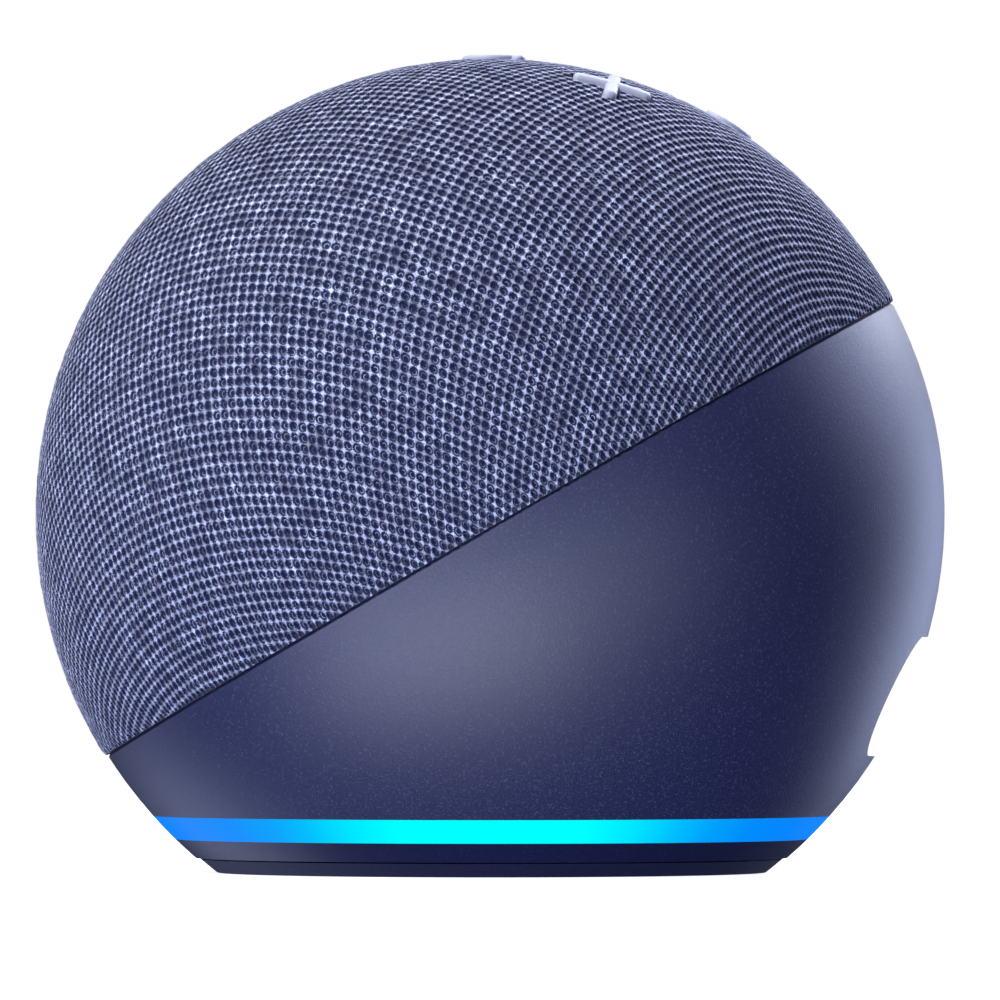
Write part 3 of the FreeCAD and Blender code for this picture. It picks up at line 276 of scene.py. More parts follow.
def metal(name, colour, stretch=(4000, 300, 4000), roughness=0.25, depth=0.000004, **uniform):
    """Worked metal; stretch says how dense its scratches lie along each axis, per metre."""
    material, tree, shader = blank_material(name, Metallic=1.0, **uniform)
    effect = use_group(tree, brushed, Colour=rgb(*colour), Stretch=stretch, Roughness=roughness)
    connect(tree, shader, effect, depth)
    return material


def fibrous(name, colour, fibre, count=2500.0, depth=0.00003, roughness=0.85, **uniform):
    """Paper, foam or cloth; count is the number of fibres per metre."""
    material, tree, shader = blank_material(name, Roughness=roughness, **uniform)
    effect = use_group(tree, fibres, Colour=rgb(*colour), Fibre_Colour=rgb(*fibre), Fibres_per_Metre=count)
    connect(tree, shader, effect, depth)
    return material


print("makers ready: plastic, metal, fibrous")

# %% [markdown]
# ## The knitted cover
#
# The cover is a warp knit: soft pale yarn round small dark openings, which stand in staggered rows.  It is
# cut flat and pulled over the dome, so its rows run straight near the pole and crowd together at the rim.
# The knit can be made the same way: a grid of square faces is turned by 45 degrees, so that each face is
# one loop of the knit, squeezed to the loops' real pitch, and wrapped over the ball.  A material alone
# couldn't give the bumpy outline or hide the openings' floors at the dome's edge.
# %% Cut the knit flat
LOOP_WIDTH = 1.881 * MM
LOOP_HEIGHT = 1.673 * MM
KNIT_TURN = math.radians(1.65)  # the rows stand this much askew
RIM_ARC = FABRIC_R * 1.622  # from the pole to the cloth's edge, measured along the cloth
ACROSS = 2 * math.ceil(RIM_ARC / (LOOP_HEIGHT / math.sqrt(2))) + 2

dice = random.Random(7)
flat = bmesh.new()
bmesh.ops.create_grid(flat, x_segments=ACROSS, y_segments=ACROSS, size=ACROSS / 2)
cells = flat.loops.layers.uv.new("loops")
for face in flat.faces:
    for corner in face.loops:
        corner[cells].uv = corner.vert.co.xy
squeeze = (Matrix.Rotation(KNIT_TURN, 4, "Z")
           @ Matrix.Diagonal((LOOP_WIDTH / math.sqrt(2), LOOP_HEIGHT / math.sqrt(2), 1, 1))
           @ Matrix.Rotation(math.radians(45), 4, "Z"))
bmesh.ops.transform(flat, matrix=squeeze, verts=flat.verts)
outside = [v for v in flat.verts if v.co.xy.length > RIM_ARC + LOOP_WIDTH / 2]
bmesh.ops.delete(flat, geom=outside, context="VERTS")
print("loops in the flat knit:", len(flat.faces))

# %% [markdown]
# Each face is inset twice.  The first inset leaves a strand of yarn round the opening, and the second one
# sinks to the opening's floor.  The strands cross at the corners of the faces, where the yarn is thickest,
# so the corners stand proud.  Real loops differ a little: the crossings wander by a few hundredths of a
# millimetre and each opening is a little larger or smaller than the next.
# %% Open the loops
YARN_HALF = 0.045 * MM
OPENING_DEPTH = 0.26 * MM
WANDER = 0.035 * MM
CROSSING_HEIGHT = 0.11 * MM
STRAND_HEIGHT = -0.04 * MM

for v in flat.verts:
    v.co.x += dice.gauss(0, WANDER)
    v.co.y += dice.gauss(0, WANDER)
    v.co.z = dice.gauss(CROSSING_HEIGHT, 0.04 * MM)
openings = list(flat.faces)
bmesh.ops.inset_individual(flat, faces=openings, thickness=YARN_HALF, depth=0, use_even_offset=True)
for face in openings:
    middle = face.calc_center_median()
    size = dice.gauss(1.0, 0.06)
    for v in face.verts:
        v.co = middle + (v.co - middle) * size * dice.gauss(1.0, 0.04)
        v.co.z = STRAND_HEIGHT
bmesh.ops.inset_individual(flat, faces=openings, thickness=0.02 * MM, depth=0, use_even_offset=True)
for face in openings:
    for v in face.verts:
        v.co.z = -OPENING_DEPTH
print("faces before smoothing:", len(flat.faces))


# %% [markdown]
# The flat knit is now wrapped over the ball: the distance from the pole becomes an angle, and the height
# over the table becomes a height over the ball.  Cloth pulled over a dome stretches a little more at the
# pole than at the rim, so the angle grows a little slower towards the rim.  There the cloth rolls inwards
# into the seam.
# %% Wrap the knit over the ball
HEM_ROLL = 0.32 * MM  # radius of the hem's roll
POLE_STRETCH = 1.0375
STRETCH_LOSS = 0.0155


def over_ball(point, radius, roll=HEM_ROLL):
    """Wraps a point of the flat drawing over the ball, with the dome's pole as its middle."""
    reach = point.xy.length
    turn = reach / FABRIC_R
    angle = turn * (POLE_STRETCH - STRETCH_LOSS * turn**2)
    along = point.xy.normalized() if reach > 1e-9 else Vector((1, 0))
    direction = Vector((along.x * math.sin(angle), along.y * math.sin(angle), math.cos(angle)))
    to_rim = radius * math.cos(angle) - SEAM_HEIGHT
    sink = 0.0
    if to_rim < roll:
        short = min(roll, roll - to_rim)
        sink = roll - math.sqrt(max(0.0, roll**2 - short**2))
    return direction * (radius + point.z - sink)


for v in flat.verts:
    v.co = over_ball(v.co, FABRIC_R)
raw = bpy.data.meshes.new("knit_raw")
flat.to_mesh(raw)
flat.free()
knit = bpy.data.objects.new("knit_raw", raw)
bpy.context.scene.collection.objects.link(knit)
knit.modifiers.new("soft", "SUBSURF").levels = 1
smoothed = bpy.data.meshes.new_from_object(knit.evaluated_get(bpy.context.evaluated_depsgraph_get()))
bpy.data.objects.remove(knit)
print("faces after smoothing:", len(smoothed.polygons))

# %% [markdown]
# The cloth ends at the seam, so one cut with a plane trims it there.  The four buttons stand through it,
# and it dips round them where it is pressed down, so the loops near a button sink and those under it go.
# %% Trim the rim and open the windows for the buttons
BUTTON_PLACE = 13.5 * MM  # from the keypad's middle to a button's middle
ARM = 8.8 * MM  # length of the bars
THICK = 1.5 * MM  # width of the bars of plus and minus
THIN = 1.25 * MM  # width of the mute sign's ring and stroke
DOT_RADIUS = 2.85 * MM
HOOP_RADIUS = 3.4 * MM
CLEARANCE = 0.10 * MM
DIP_REACH = 0.8 * MM
DIP_DEPTH = 0.22 * MM
TO_KEYPAD = KEYPAD_AXIS.inverted() @ DOME_POLE


def bar_distance(x, y, turn, half_width=THICK / 2):
    """Distance from a point to a bar with round ends that lies at an angle across the origin."""
    c, s = math.cos(turn), math.sin(turn)
    along, aside = x * c + y * s, y * c - x * s
    beyond = max(0.0, abs(along) - (ARM / 2 - half_width))
    return math.hypot(beyond, aside) - half_width


def button_distance(x, y):
    """Distance from a point, in the keypad's plane, to the outline of the nearest button."""
    plus = min(bar_distance(x - BUTTON_PLACE, y, 0), bar_distance(x - BUTTON_PLACE, y, math.pi / 2))
    minus = bar_distance(x + BUTTON_PLACE, y, 0)
    dot = math.hypot(x, y - BUTTON_PLACE) - DOT_RADIUS
    struck = min(math.hypot(x, y + BUTTON_PLACE) - HOOP_RADIUS,
                 bar_distance(x, y + BUTTON_PLACE, math.pi / 4, THIN / 2))
    return min(plus, minus, dot, struck)


cloth = bmesh.new()
cloth.from_mesh(smoothed)
bmesh.ops.bisect_plane(cloth, geom=cloth.verts[:] + cloth.edges[:] + cloth.faces[:], dist=1e-7,
                       plane_co=(0, 0, SEAM_HEIGHT), plane_no=(0, 0, 1), clear_inner=True)
covered = []
for v in cloth.verts:
    on_keypad = TO_KEYPAD @ v.co
    if on_keypad.z > 40 * MM and on_keypad.xy.length < 20 * MM:
        gap = button_distance(on_keypad.x, on_keypad.y)
        if gap < CLEARANCE:
            covered.append(v)
        elif gap < DIP_REACH:
            v.co -= v.co.normalized() * DIP_DEPTH * (1 - gap / DIP_REACH) ** 2
bmesh.ops.delete(cloth, geom=covered, context="VERTS")
print("cloth after trimming:", len(cloth.faces), "faces")

# %% [markdown]
# ### Yarn
#
# The yarn is pale lavender and the openings show dark navy cloth with stray inner threads.  The material
# reads the loops' own UV map, in which each loop is one unit wide, so it knows how far a point is from the
# middle of its loop.  Sheen gives the pale bloom that knitted polyester has at grazing angles.
# %% Yarn material
NAVY = (0.009, 0.013, 0.072)
LAVENDER = (0.46, 0.50, 0.74)


def knit_material(name):
    """The yarn's material, which turns to dark cloth inside the openings."""
    material, tree, shader = blank_material(name, Roughness=0.8, Sheen_Weight=0.8, Sheen_Roughness=0.4,
                                            Specular_IOR_Level=0.25)
    shader.inputs["Sheen Tint"].default_value = rgb(0.75, 0.76, 1.0)
    uv = add(tree, "ShaderNodeUVMap", uv_map="loops").outputs[0]
    cell = add(tree, "ShaderNodeVectorMath", {0: uv}, operation="FLOOR").outputs[0]
    inside = add(tree, "ShaderNodeVectorMath", {0: uv}, operation="FRACTION").outputs[0]
    centred = add(tree, "ShaderNodeVectorMath", {0: inside, 1: (0.5, 0.5, 0.0)},
                  operation="SUBTRACT").outputs[0]
    reach = add(tree, "ShaderNodeVectorMath", {0: centred}, operation="LENGTH").outputs["Value"]
    chance = add(tree, "ShaderNodeTexWhiteNoise", {"Vector": cell}, noise_dimensions="3D")
    spot = add(tree, "ShaderNodeSeparateXYZ", {0: centred})
    turn = calc(tree, "ARCTAN2", spot.outputs["Y"], spot.outputs["X"])
    turn = calc(tree, "MULTIPLY_ADD", chance.outputs["Value"], math.tau, turn)
    # a stray inner thread: part of a ring inside the opening, at a different place in each loop
    dim = add(tree, "ShaderNodeSeparateColor", {0: chance.outputs["Color"]})
    fuzz = add(tree, "ShaderNodeTexNoise", {"Vector": uv, "Scale": 7.5, "Detail": 4.0, "Roughness": 0.75})
    fuzzy = calc(tree, "SUBTRACT", fuzz.outputs["Fac"], 0.5)
    ring = calc(tree, "MULTIPLY_ADD", dim.outputs[0], 0.08, 0.22)
    ring = calc(tree, "SUBTRACT", calc(tree, "MULTIPLY_ADD", fuzzy, 0.12, reach), ring)
    ring = calc(tree, "MULTIPLY", calc(tree, "ABSOLUTE", ring), 13.0)
    ring = calc(tree, "SUBTRACT", 1.0, ring, clamp=True)
    part = calc(tree, "MULTIPLY_ADD", calc(tree, "SINE", turn), 0.9, 0.6, clamp=True)
    stray = calc(tree, "MULTIPLY", calc(tree, "MULTIPLY", ring, part),
                 calc(tree, "MULTIPLY_ADD", dim.outputs[1], 0.6, 0.35))
    # how much yarn there is: none on the floor of an opening, all of it on the strands
    edge = calc(tree, "MULTIPLY_ADD", fuzzy, 0.34, reach)
    yarn = calc(tree, "MULTIPLY", calc(tree, "SUBTRACT", edge, 0.445), 9.0, clamp=True)
    yarn = calc(tree, "MAXIMUM", yarn, stray)
    # how pale the yarn is: slow waves, clumps and lint, some loops paler, and a painted highlight on the
    # crossings
    wave = add(tree, "ShaderNodeTexNoise", {"Vector": uv, "Scale": 0.45, "Detail": 4.0, "Roughness": 0.65})
    lint = add(tree, "ShaderNodeTexNoise", {"Vector": uv, "Scale": 2.3, "Detail": 2.0})
    clump = add(tree, "ShaderNodeTexNoise", {"Vector": uv, "Scale": 4.2, "Detail": 2.0, "Roughness": 0.6})
    clump = calc(tree, "MULTIPLY_ADD", clump.outputs["Fac"], 4.4, -1.2, clamp=True)
    lint = calc(tree, "MULTIPLY", calc(tree, "SUBTRACT", lint.outputs["Fac"], 0.6), 5.0, clamp=True)
    pale = calc(tree, "MULTIPLY_ADD", wave.outputs["Fac"], 2.6, -0.5)
    pale = calc(tree, "MULTIPLY", pale, calc(tree, "MULTIPLY_ADD", dim.outputs[2], 0.6, 0.7))
    pale = calc(tree, "MULTIPLY", pale, calc(tree, "MULTIPLY_ADD", clump, 1.0, 0.42))
    pale = calc(tree, "MULTIPLY", pale, calc(tree, "MULTIPLY_ADD", fuzz.outputs["Fac"], 2.2, -0.15))
    # a painted highlight: the corners of each loop, where the strands cross, are made paler; lint adds real
    # pale flecks
    crossing_highlight = calc(tree, "MULTIPLY", calc(tree, "SUBTRACT", reach, 0.5), 2.2, clamp=True)
    pale = calc(tree, "MULTIPLY_ADD", calc(tree, "MAXIMUM", lint, crossing_highlight), 0.32, pale)
    strand = blend_colours(tree, 1.0, rgb(*LAVENDER), grey(tree, pale), "MULTIPLY")
    tree.links.new(blend_colours(tree, yarn, rgb(*NAVY), strand), shader.inputs["Base Color"])
    bump = add(tree, "ShaderNodeBump",
               {"Height": fuzz.outputs["Fac"], "Strength": 0.8, "Distance": 0.08 * MM})
    tree.links.new(bump.outputs["Normal"], shader.inputs["Normal"])
    return material


yarn_look = knit_material("knitted_yarn")
print(yarn_look.name, "has", len(yarn_look.node_tree.nodes), "nodes")

# %% [markdown]
# The knit is cut into six gores from pole to rim, so that each piece stays light enough to handle.  Every
# face goes to the gore that its middle lies in.  The real cover is one piece, so the gores meet edge to
# edge, with no seam to be seen.
# %% Six gores of knit
GORES = 6
gore_of = {}
for face in cloth.faces:
    middle = face.calc_center_median()
    gore_of[face.index] = int((math.atan2(middle.y, middle.x) / math.tau % 1.0) * GORES)
cloth.faces.ensure_lookup_table()
whole = bpy.data.meshes.new("knit_whole")
cloth.to_mesh(whole)
cloth.free()
for number in range(GORES):
    part = bmesh.new()
    part.from_mesh(whole)
    part.faces.ensure_lookup_table()
    others = [face for face in part.faces if gore_of[face.index] != number]
    bmesh.ops.delete(part, geom=others, context="FACES")
    bmesh.ops.transform(part, matrix=DOME_POLE, verts=part.verts)
    gore = finished(f"knit_gore_{number + 1}", part, yarn_look)

# %% [markdown]
# ### Ground cloth
#
# Behind the knit lies a dark, dense cloth, which hides the holes of the dome and closes the openings to the
# eye.  It is one smooth shell, cut and wrapped like the knit and a little smaller, and it reaches into the
# seam, so that no gap shows between cover and housing.  Together with the gores it stands for the cover of
# the CAD.  The real cover is held by its rim, stretched.
# %% Ground cloth
GROUND_R = FABRIC_R - OPENING_DEPTH - 0.05 * MM
ground = bmesh.new()
bmesh.ops.create_grid(ground, x_segments=96, y_segments=96, size=RIM_ARC * 1.02)
ground_uv = ground.loops.layers.uv.new("loops")
for face in ground.faces:
    for corner in face.loops:
        corner[ground_uv].uv = corner.vert.co.xy / (LOOP_WIDTH / math.sqrt(2))
corners = [v for v in ground.verts if v.co.xy.length > RIM_ARC * 1.03]
bmesh.ops.delete(ground, geom=corners, context="VERTS")
for v in ground.verts:
    v.co = over_ball(v.co, GROUND_R, roll=0.0)
bmesh.ops.bisect_plane(ground, geom=ground.verts[:] + ground.edges[:] + ground.faces[:], dist=1e-7,
                       plane_co=(0, 0, SEAM_HEIGHT - 0.05 * MM), plane_no=(0, 0, 1), clear_inner=True)
bmesh.ops.transform(ground, matrix=DOME_POLE, verts=ground.verts)
bmesh.ops.recalc_face_normals(ground, faces=ground.faces)
ground_look = fibrous("ground_cloth", NAVY, (0.05, 0.055, 0.14), count=4000.0, Sheen_Weight=0.3)
ground_cloth = finished("ground_cloth", ground, ground_look)
shell = ground_cloth.modifiers.new("cloth thickness", "SOLIDIFY")
shell.thickness = 0.25 * MM
shell.offset = -1
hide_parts("fabric_cover")


# %% [markdown]
# ## Hard parts
#
# The CAD nodes come in as loose triangles.  A Weld modifier joins them, smooth shading rounds them, and an
# Edge Split keeps their real corners crisp, so the ball looks like a ball and a screw head stays sharp.
# %% Smooth shading for CAD nodes
def dress(names, material, crease=30.0):
    """Gives CAD nodes a material and smooth shading that breaks at edges sharper than crease degrees."""
    for name in names:
        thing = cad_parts[name]
        thing.data.materials.clear()
        thing.data.materials.append(material)
        for face in thing.data.polygons:
            face.use_smooth = True
        thing.modifiers.new("join triangles", "WELD").merge_threshold = 1e-6
        split = thing.modifiers.new("keep corners", "EDGE_SPLIT")
        split.split_angle = math.radians(crease)


# %% [markdown]
# ### Housing and foot
#
# The housing is moulded in a deep blue with a matte, faintly glittering surface.  The base below the light
# ring is the same plastic in a darker shade, and the foot is rubber.
# %% Housing and foot materials
dress(["lower_housing"],
      plastic("housing_blue", (0.017, 0.023, 0.105), fleck=(0.085, 0.095, 0.22), amount=0.9,
              grains=3600.0, roughness=0.48, depth=0.00003,
              Specular_IOR_Level=1.0, Coat_Weight=0.2, Coat_Roughness=0.45))
dress(["base_cover"], plastic("base_blue", (0.011, 0.015, 0.07), fleck=(0.06, 0.07, 0.18), amount=0.35,
                              grains=3600.0, roughness=0.4, depth=0.000012))
dress(["foot_ring"], plastic("foot_rubber", (0.009, 0.012, 0.055), fleck=(0.04, 0.05, 0.12), amount=0.3,
                             grains=2500.0, roughness=0.6, depth=0.00002))
dress(["port_cup"], plastic("cup_plastic", (0.02, 0.024, 0.07), amount=0.1, roughness=0.5))

# %% [markdown]
# ### Light ring
#
# A milky ring glows evenly: cyan at the speaker's right-hand side, and azure from there to front and rear.
# Its colour depends only on the direction from the middle of the speaker, so it is worked out from Object
# coordinates with an arctangent and a colour ramp.  Its own skin is nearly black, so that no lamp pales it.
# %% Light ring material
lit, tree, shader = blank_material("light_ring_lit", Roughness=0.35, Emission_Strength=1.0,
                                   Specular_IOR_Level=0.02)
spot = add(tree, "ShaderNodeSeparateXYZ", {0: add(tree, "ShaderNodeTexCoord").outputs["Object"]})
away = calc(tree, "ABSOLUTE", calc(tree, "ARCTAN2", spot.outputs["Y"], spot.outputs["X"]))
ramp = add(tree, "ShaderNodeValToRGB", {"Fac": calc(tree, "DIVIDE", away, math.pi)})
stops = [(0.0, (0.0, 1.0, 1.0)), (0.09, (0.0, 1.0, 1.0)), (0.14, (0.0, 0.77, 1.0)),
         (0.185, (0.0, 0.51, 0.98)), (0.225, (0.0, 0.356, 0.97)), (0.28, (0.0, 0.262, 0.97)),
         (0.36, (0.0, 0.231, 0.97)), (1.0, (0.0, 0.22, 0.98))]
ends = ramp.color_ramp.elements
for end, (position, colour) in ((ends[0], stops[0]), (ends[1], stops[-1])):
    end.position = position
    end.color = rgb(*colour)
for position, colour in stops[1:-1]:
    ramp.color_ramp.elements.new(position).color = rgb(*colour)
tree.links.new(ramp.outputs["Color"], shader.inputs["Emission Color"])
shader.inputs["Base Color"].default_value = rgb(0.0, 0.005, 0.02)
dress(["light_ring"], lit)

# %% [markdown]
# ### Buttons
#
# Four caps of pale soft-touch plastic stand through the knit: a plus, a minus, a dot and a struck ring.
# A bar with round ends is a circle whose halves are pulled apart.  Each outline is extruded, its upper edge
# is bevelled until it is as round as a pill, and the cap is then bent to the ball.  Below the knit a cap
# has a flange, which keeps it in, and a stem that presses its switch.
# %% Outlines of the caps
SKIRT_FOOT = -7.0 * MM
CUT_STEP = 0.83 * MM  # the caps are cut this finely, so that they bend smoothly


def bar(bm, length, width, turn=0.0):
    """A flat bar with round ends, lying across the origin."""
    made = bmesh.ops.create_circle(bm, cap_ends=True, segments=30, radius=width / 2,
                                   matrix=Matrix.Rotation(math.radians(6), 4, "Z"))["verts"]
    for v in made:
        v.co.x += math.copysign(length / 2 - width / 2, v.co.x)
    bmesh.ops.rotate(bm, verts=made, matrix=Matrix.Rotation(turn, 3, "Z"))


def disc(bm, radius):
    """A flat disc."""
    bmesh.ops.create_circle(bm, cap_ends=True, segments=64, radius=radius)


def hoop(bm, outer, inner):
    """A flat ring."""
    for radius in (outer, inner):
        bmesh.ops.create_circle(bm, cap_ends=False, segments=64, radius=radius)
    bmesh.ops.bridge_loops(bm, edges=bm.edges[:])


def raise_outline(bm, top, softness):
    """Extrudes what lies flat in bm to a height above the ball and rounds its upper edge."""
    for v in bm.verts:
        v.co.z = SKIRT_FOOT
    faces = bmesh.ops.extrude_face_region(bm, geom=bm.faces[:])["geom"]
    for v in [item for item in faces if isinstance(item, bmesh.types.BMVert)]:
        v.co.z = top
    bmesh.ops.recalc_face_normals(bm, faces=bm.faces[:])
    rim = [edge for edge in bm.edges if edge.is_manifold and edge.calc_face_angle(0) > 0.8
           and min(v.co.z for v in edge.verts) > top - 1e-6]
    bmesh.ops.bevel(bm, geom=rim, offset=softness, segments=5, profile=0.5, affect="EDGES", material=-1)
    for axis in (Vector((1, 0, 0)), Vector((0, 1, 0))):
        for step in range(-5, 6):
            bmesh.ops.bisect_plane(bm, geom=bm.verts[:] + bm.edges[:] + bm.faces[:], dist=1e-7,
                                   plane_co=axis * step * CUT_STEP, plane_no=axis)


# %% [markdown]
# A cap is moulded in one piece.  Here its raised outlines are drawn flat, lifted to the ball, joined, and
# set on a flange and a stem, all along the keypad's axis.  The skirt under an outline ends just below the
# flange's top, so that a pressed cap does not run into the guide that holds it.
# %% Caps
CAP_TOP = 0.52 * MM  # above the cloth
FIELD_TOP = 0.12 * MM
FLANGE_TOP = 42.9 * MM  # from the ball's middle, along the keypad's axis
FLANGE_RADIUS = 5.0 * MM
SKIRT_DEPTH = 0.3 * MM
STEM_RADIUS = 1.5 * MM
STEM_FOOT = 38.8 * MM
cap_look = plastic("cap_lavender", (0.60, 0.62, 0.82), fleck=(0.75, 0.77, 0.92), amount=0.15, grains=6000.0,
                   roughness=0.45, depth=0.000004)


def cap(name, place, *outlines):
    """Joins raised outlines into one cap, bends it to the ball and adds its flange and stem."""
    whole = bmesh.new()
    for draw, top, softness in outlines:
        piece = bmesh.new()
        draw(piece)
        raise_outline(piece, top, softness)
        shape = bpy.data.meshes.new("outline")
        piece.to_mesh(shape)
        piece.free()
        whole.from_mesh(shape)
        bpy.data.meshes.remove(shape)
    x, y = place
    for v in whole.verts:
        v.co.x += x
        v.co.y += y
        on_ball = math.sqrt((FABRIC_R + v.co.z) ** 2 - v.co.x**2 - v.co.y**2)
        v.co.z = max(FLANGE_TOP - SKIRT_DEPTH, on_ball)
    for radius, low, high in ((FLANGE_RADIUS, FLANGE_TOP - 1.0 * MM, FLANGE_TOP),
                              (STEM_RADIUS, STEM_FOOT, FLANGE_TOP - 0.9 * MM)):
        bmesh.ops.create_cone(whole, cap_ends=True, segments=48, radius1=radius, radius2=radius,
                              depth=high - low, matrix=Matrix.Translation((x, y, (low + high) / 2)))
    bmesh.ops.transform(whole, matrix=KEYPAD_AXIS, verts=whole.verts)
    thing = finished(name + "_cap", whole, cap_look, body=name + "_key")
    split = thing.modifiers.new("keep corners", "EDGE_SPLIT")
    split.split_angle = math.radians(50)
    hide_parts(name + "_button")


cap("volume_up", (BUTTON_PLACE, 0),
    (lambda bm: bar(bm, ARM, THICK), CAP_TOP, 0.42 * MM),
    (lambda bm: bar(bm, ARM, THICK, math.pi / 2), CAP_TOP, 0.42 * MM))
cap("volume_down", (-BUTTON_PLACE, 0), (lambda bm: bar(bm, ARM, THICK), CAP_TOP, 0.42 * MM))
cap("action", (0, BUTTON_PLACE), (lambda bm: disc(bm, DOT_RADIUS), CAP_TOP, 0.45 * MM))
cap("mute", (0, -BUTTON_PLACE),
    (lambda bm: hoop(bm, HOOP_RADIUS, HOOP_RADIUS - THIN), CAP_TOP, 0.38 * MM),
    (lambda bm: bar(bm, ARM, THIN, math.pi / 4), CAP_TOP, 0.38 * MM),
    (lambda bm: disc(bm, 2.6 * MM), FIELD_TOP, 0.05 * MM))

# %% [markdown]
# ### Inner parts
#
# The parts inside are seen when the speaker is taken apart.  Boards are glass cloth under green solder
# mask, seals are foam, the cone is paper, the magnet is dark ferrite and the screws, cans and plates are
# steel.  They keep the shapes of the CAD and get the shared finishes, each with its own colour, grain and
# shine, because at that distance the finish tells them apart better than more shape would.
# %% Inner parts
dress(["grille_shell", "button_guide"], plastic("dome_black", (0.018, 0.018, 0.022), roughness=0.5))
dress(["power_jack", "audio_jack", "speaker_box_front", "speaker_box_rear", "switch_bodies"],
      plastic("black_plastic", (0.015, 0.015, 0.017), amount=0.12, roughness=0.4))
dress(["rating_label"],
      plastic("label_film", (0.30, 0.31, 0.36), amount=0.1, grains=9000.0, roughness=0.35))
dress(["main_board", "port_board", "button_board"],
      plastic("solder_mask", (0.008, 0.075, 0.03), fleck=(0.03, 0.2, 0.09), amount=0.5, roughness=0.3))
dress(["board_connectors", "port_cable"], plastic("connector_ivory", (0.72, 0.69, 0.58), roughness=0.4))
dress(["volume_up_plunger", "volume_down_plunger", "mute_plunger", "action_plunger", "ring_leds"],
      plastic("white_plastic", (0.8, 0.8, 0.76), fleck=(1, 1, 1), roughness=0.4))
dress(["driver_terminals"], plastic("laminate", (0.33, 0.18, 0.06), amount=0.3, roughness=0.5))
dress(["button_flex"],
      plastic("amber_film", (0.5, 0.2, 0.02), amount=0.1, roughness=0.2, Coat_Weight=0.5))
dress(["speaker_lead", "surround"],
      plastic("black_rubber", (0.012, 0.012, 0.013), amount=0.15, roughness=0.55))
dress(["thermal_pad"],
      plastic("pad_grey", (0.28, 0.34, 0.44), amount=0.3, grains=3000.0, roughness=0.8))
dress(["box_seal", "driver_gasket", "mic_gaskets"],
      fibrous("black_foam", (0.01, 0.01, 0.01), (0.04, 0.04, 0.045), count=1800.0))
dress(["cone", "dust_cap"],
      fibrous("cone_paper", (0.012, 0.012, 0.013), (0.06, 0.06, 0.065), count=2200.0))
dress(["spider"], fibrous("spider_cloth", (0.42, 0.24, 0.07), (0.6, 0.4, 0.15), count=3000.0))
dress(["base_screws", "board_screws", "port_screws", "box_screws", "dome_screws", "driver_screws",
       "button_board_screws", "power_jack_pin", "shield_can", "microphones"],
      metal("bright_steel", (0.62, 0.62, 0.65)))
dress(["top_plate", "yoke"], metal("zinc_steel", (0.5, 0.52, 0.56), roughness=0.35))
dress(["heat_sink"],
      metal("cast_aluminium", (0.66, 0.67, 0.69), stretch=(1500, 1500, 1500), roughness=0.4))
dress(["wifi_antennas"], metal("antenna_foil", (0.85, 0.55, 0.25)))
dress(["voice_coil"], metal("coil_wire", (0.8, 0.35, 0.12), stretch=(200, 9000, 200), depth=0.00002))
dress(["driver_frame"],
      plastic("frame_paint", (0.02, 0.02, 0.022), amount=0.2, roughness=0.35, Metallic=0.3))
dress(["magnet"],
      plastic("ferrite", (0.035, 0.035, 0.038), fleck=(0.1, 0.1, 0.1), amount=0.4, roughness=0.6))
clear, tree, shader = blank_material("clear_guide", Roughness=0.15, Transmission_Weight=0.9, IOR=1.49)
shader.inputs["Base Color"].default_value = rgb(0.9, 0.96, 1.0)
dress(["light_guide"], clear)
print("materials:", len(bpy.data.materials))

# %% [markdown]
# ## Studio
#
# The speaker stands on a plain white floor.  The floor and the white surroundings are seen by the camera
# only: dark blue plastic shows mostly what it mirrors, and a white room mirrored in it would wash it out.
# So the room that lights the speaker is nearly black, and every bright place on it comes from a panel.
# %% Floor and surroundings
FLOOR_GLOW = 0.93
ROOM_LIGHT = rgb(0.012, 0.014, 0.022)
WHITE = rgb(1, 1, 1)
white, tree, shader = blank_material("studio_white", Roughness=0.9, Specular_IOR_Level=0.0,
                                     Emission_Strength=FLOOR_GLOW)
shader.inputs["Base Color"].default_value = rgb(0.6, 0.6, 0.6)
shader.inputs["Emission Color"].default_value = WHITE
floor = bmesh.new()
bmesh.ops.create_grid(floor, x_segments=1, y_segments=1, size=1.0)
floor_mesh = bpy.data.meshes.new("floor")
floor.to_mesh(floor_mesh)
floor.free()
floor_mesh.materials.append(white)
floor_thing = bpy.data.objects.new("floor", floor_mesh)
bpy.context.scene.collection.objects.link(floor_thing)
floor_thing.visible_diffuse = False
floor_thing.visible_glossy = False
floor_thing.visible_shadow = False

world = bpy.data.worlds.new("studio")
bpy.context.scene.world = world
world.use_nodes = True
room = world.node_tree
seen = add(room, "ShaderNodeLightPath").outputs["Is Camera Ray"]
background = room.nodes["Background"]
room.links.new(blend_colours(room, seen, ROOM_LIGHT, WHITE), background.inputs["Color"])
background.inputs["Strength"].default_value = 1.0
print("floor and surroundings are white for the camera only")

# %% [markdown]
# ### Soft panels
#
# Ten square panels hang on a ball of 0.8 metres round the speaker, and all of them face it.  Two stand
# below the table's height on the camera's side and lay the broad sheen on the housing, as a bright table
# would.  A weak one beside them fills the front of it.  The key light is high at the left and draws the
# knit's loops.  The others stand behind and above: they edge the housing at the right, the base at the left
# and the rim and top of the knit.  Between them it stays dark, and this is what makes the ball look round.
# A panel's brightness is given as radiance, so it does not change when the panel's size does.
# %% Soft panels
PANEL_WAY = 0.8
PANEL_SIDE = 0.42


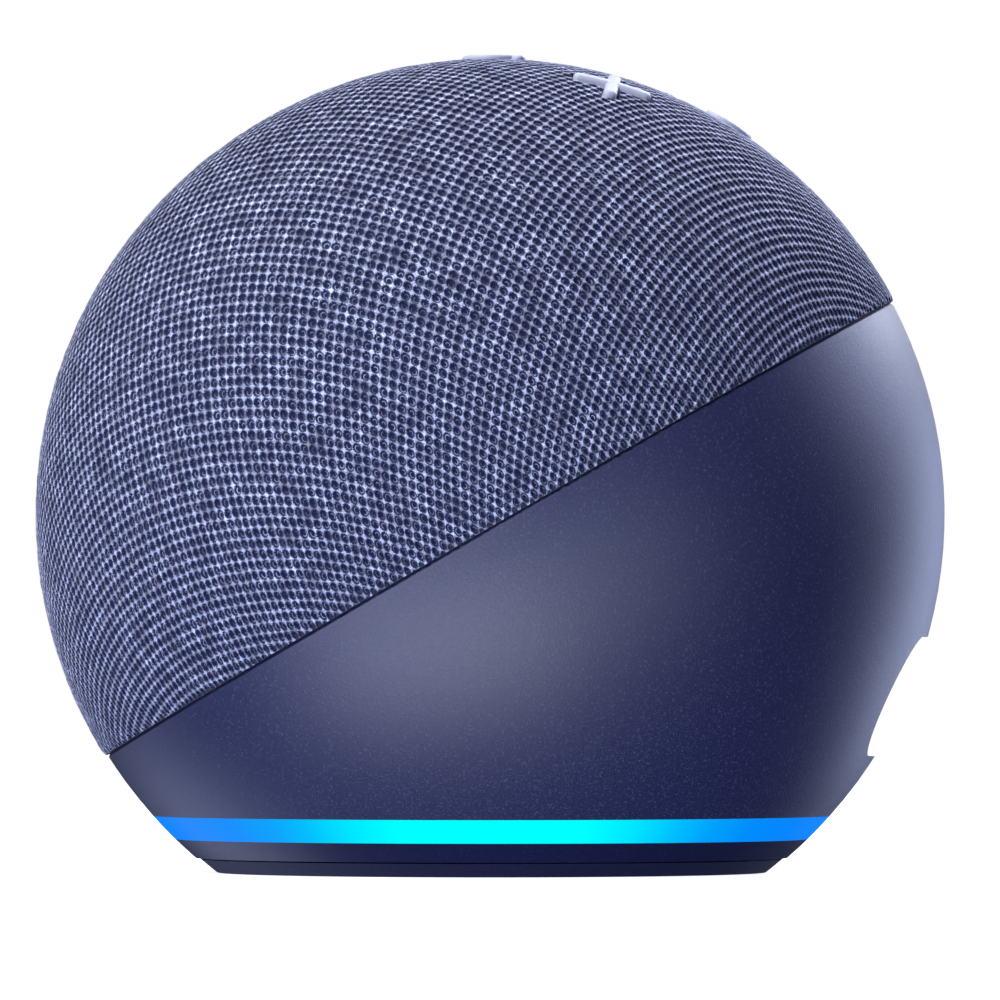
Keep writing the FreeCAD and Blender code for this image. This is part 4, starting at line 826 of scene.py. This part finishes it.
def panel(name, azimuth, rise, radiance, colour):
    """A panel that faces the speaker, azimuth degrees round from +X and rise degrees up."""
    data = bpy.data.lights.new(name, "AREA")
    data.shape = "SQUARE"
    data.size = PANEL_SIDE
    data.energy = radiance * math.pi * PANEL_SIDE ** 2
    data.color = colour
    lamp = bpy.data.objects.new(name, data)
    bpy.context.scene.collection.objects.link(lamp)
    turn = math.radians(azimuth)
    up = math.radians(rise)
    way = Vector((math.cos(turn) * math.cos(up), math.sin(turn) * math.cos(up), math.sin(up)))
    lamp.location = CENTRE + PANEL_WAY * way
    lamp.rotation_euler = (CENTRE - lamp.location).to_track_quat("-Z", "Y").to_euler()
    print("panel", name, round(data.energy, 2), "watts")


panel("table_left", -34, -32, 4.2, (0.72, 0.78, 1.0))
panel("table_right", 0, -28, 4.0, (0.80, 0.87, 1.0))
panel("front_right", 32, -12, 1.3, (0.78, 0.87, 1.0))
panel("behind_right_low", 140, -6, 3.2, (0.60, 0.68, 1.0))
panel("right_high", 122, 25, 3.2, (0.55, 0.63, 1.0))
panel("behind_right", 150, 30, 7.0, (0.82, 0.87, 1.0))
panel("behind_left_low", -140, -38, 1.5, (0.62, 0.70, 1.0))
panel("left_key", -42, 48, 8.6, (0.92, 0.95, 1.0))
panel("left_high", -100, 60, 3.8, (1.0, 1.0, 0.86))
panel("behind_high", 180, 60, 4.4, (0.96, 1.0, 0.95))

# %% [markdown]
# ## Camera
#
# The speaker is seen from its right-hand side, from a little over a metre away and just above the table,
# through a long lens.  That far away the ball's outline is nearly its true profile.
# %% Camera
CAMERA_PLACE = Vector((1.150, 0.0, 0.0214))
CAMERA_AIM = Vector((0, 0.00093, 0.0411))
camera_data = bpy.data.cameras.new("camera")
camera_data.sensor_width = 36.0
camera_data.lens = 374.9
camera_data.clip_start = 0.05
camera_data.clip_end = 30.0
camera = bpy.data.objects.new("camera", camera_data)
bpy.context.scene.collection.objects.link(camera)
camera.location = CAMERA_PLACE
camera.rotation_euler = (CAMERA_AIM - CAMERA_PLACE).to_track_quat("-Z", "Y").to_euler()
bpy.context.scene.camera = camera
bpy.context.scene.view_settings.view_transform = "Standard"
print("camera stands", round((CENTRE - CAMERA_PLACE).length, 3), "metres from the ball's middle")
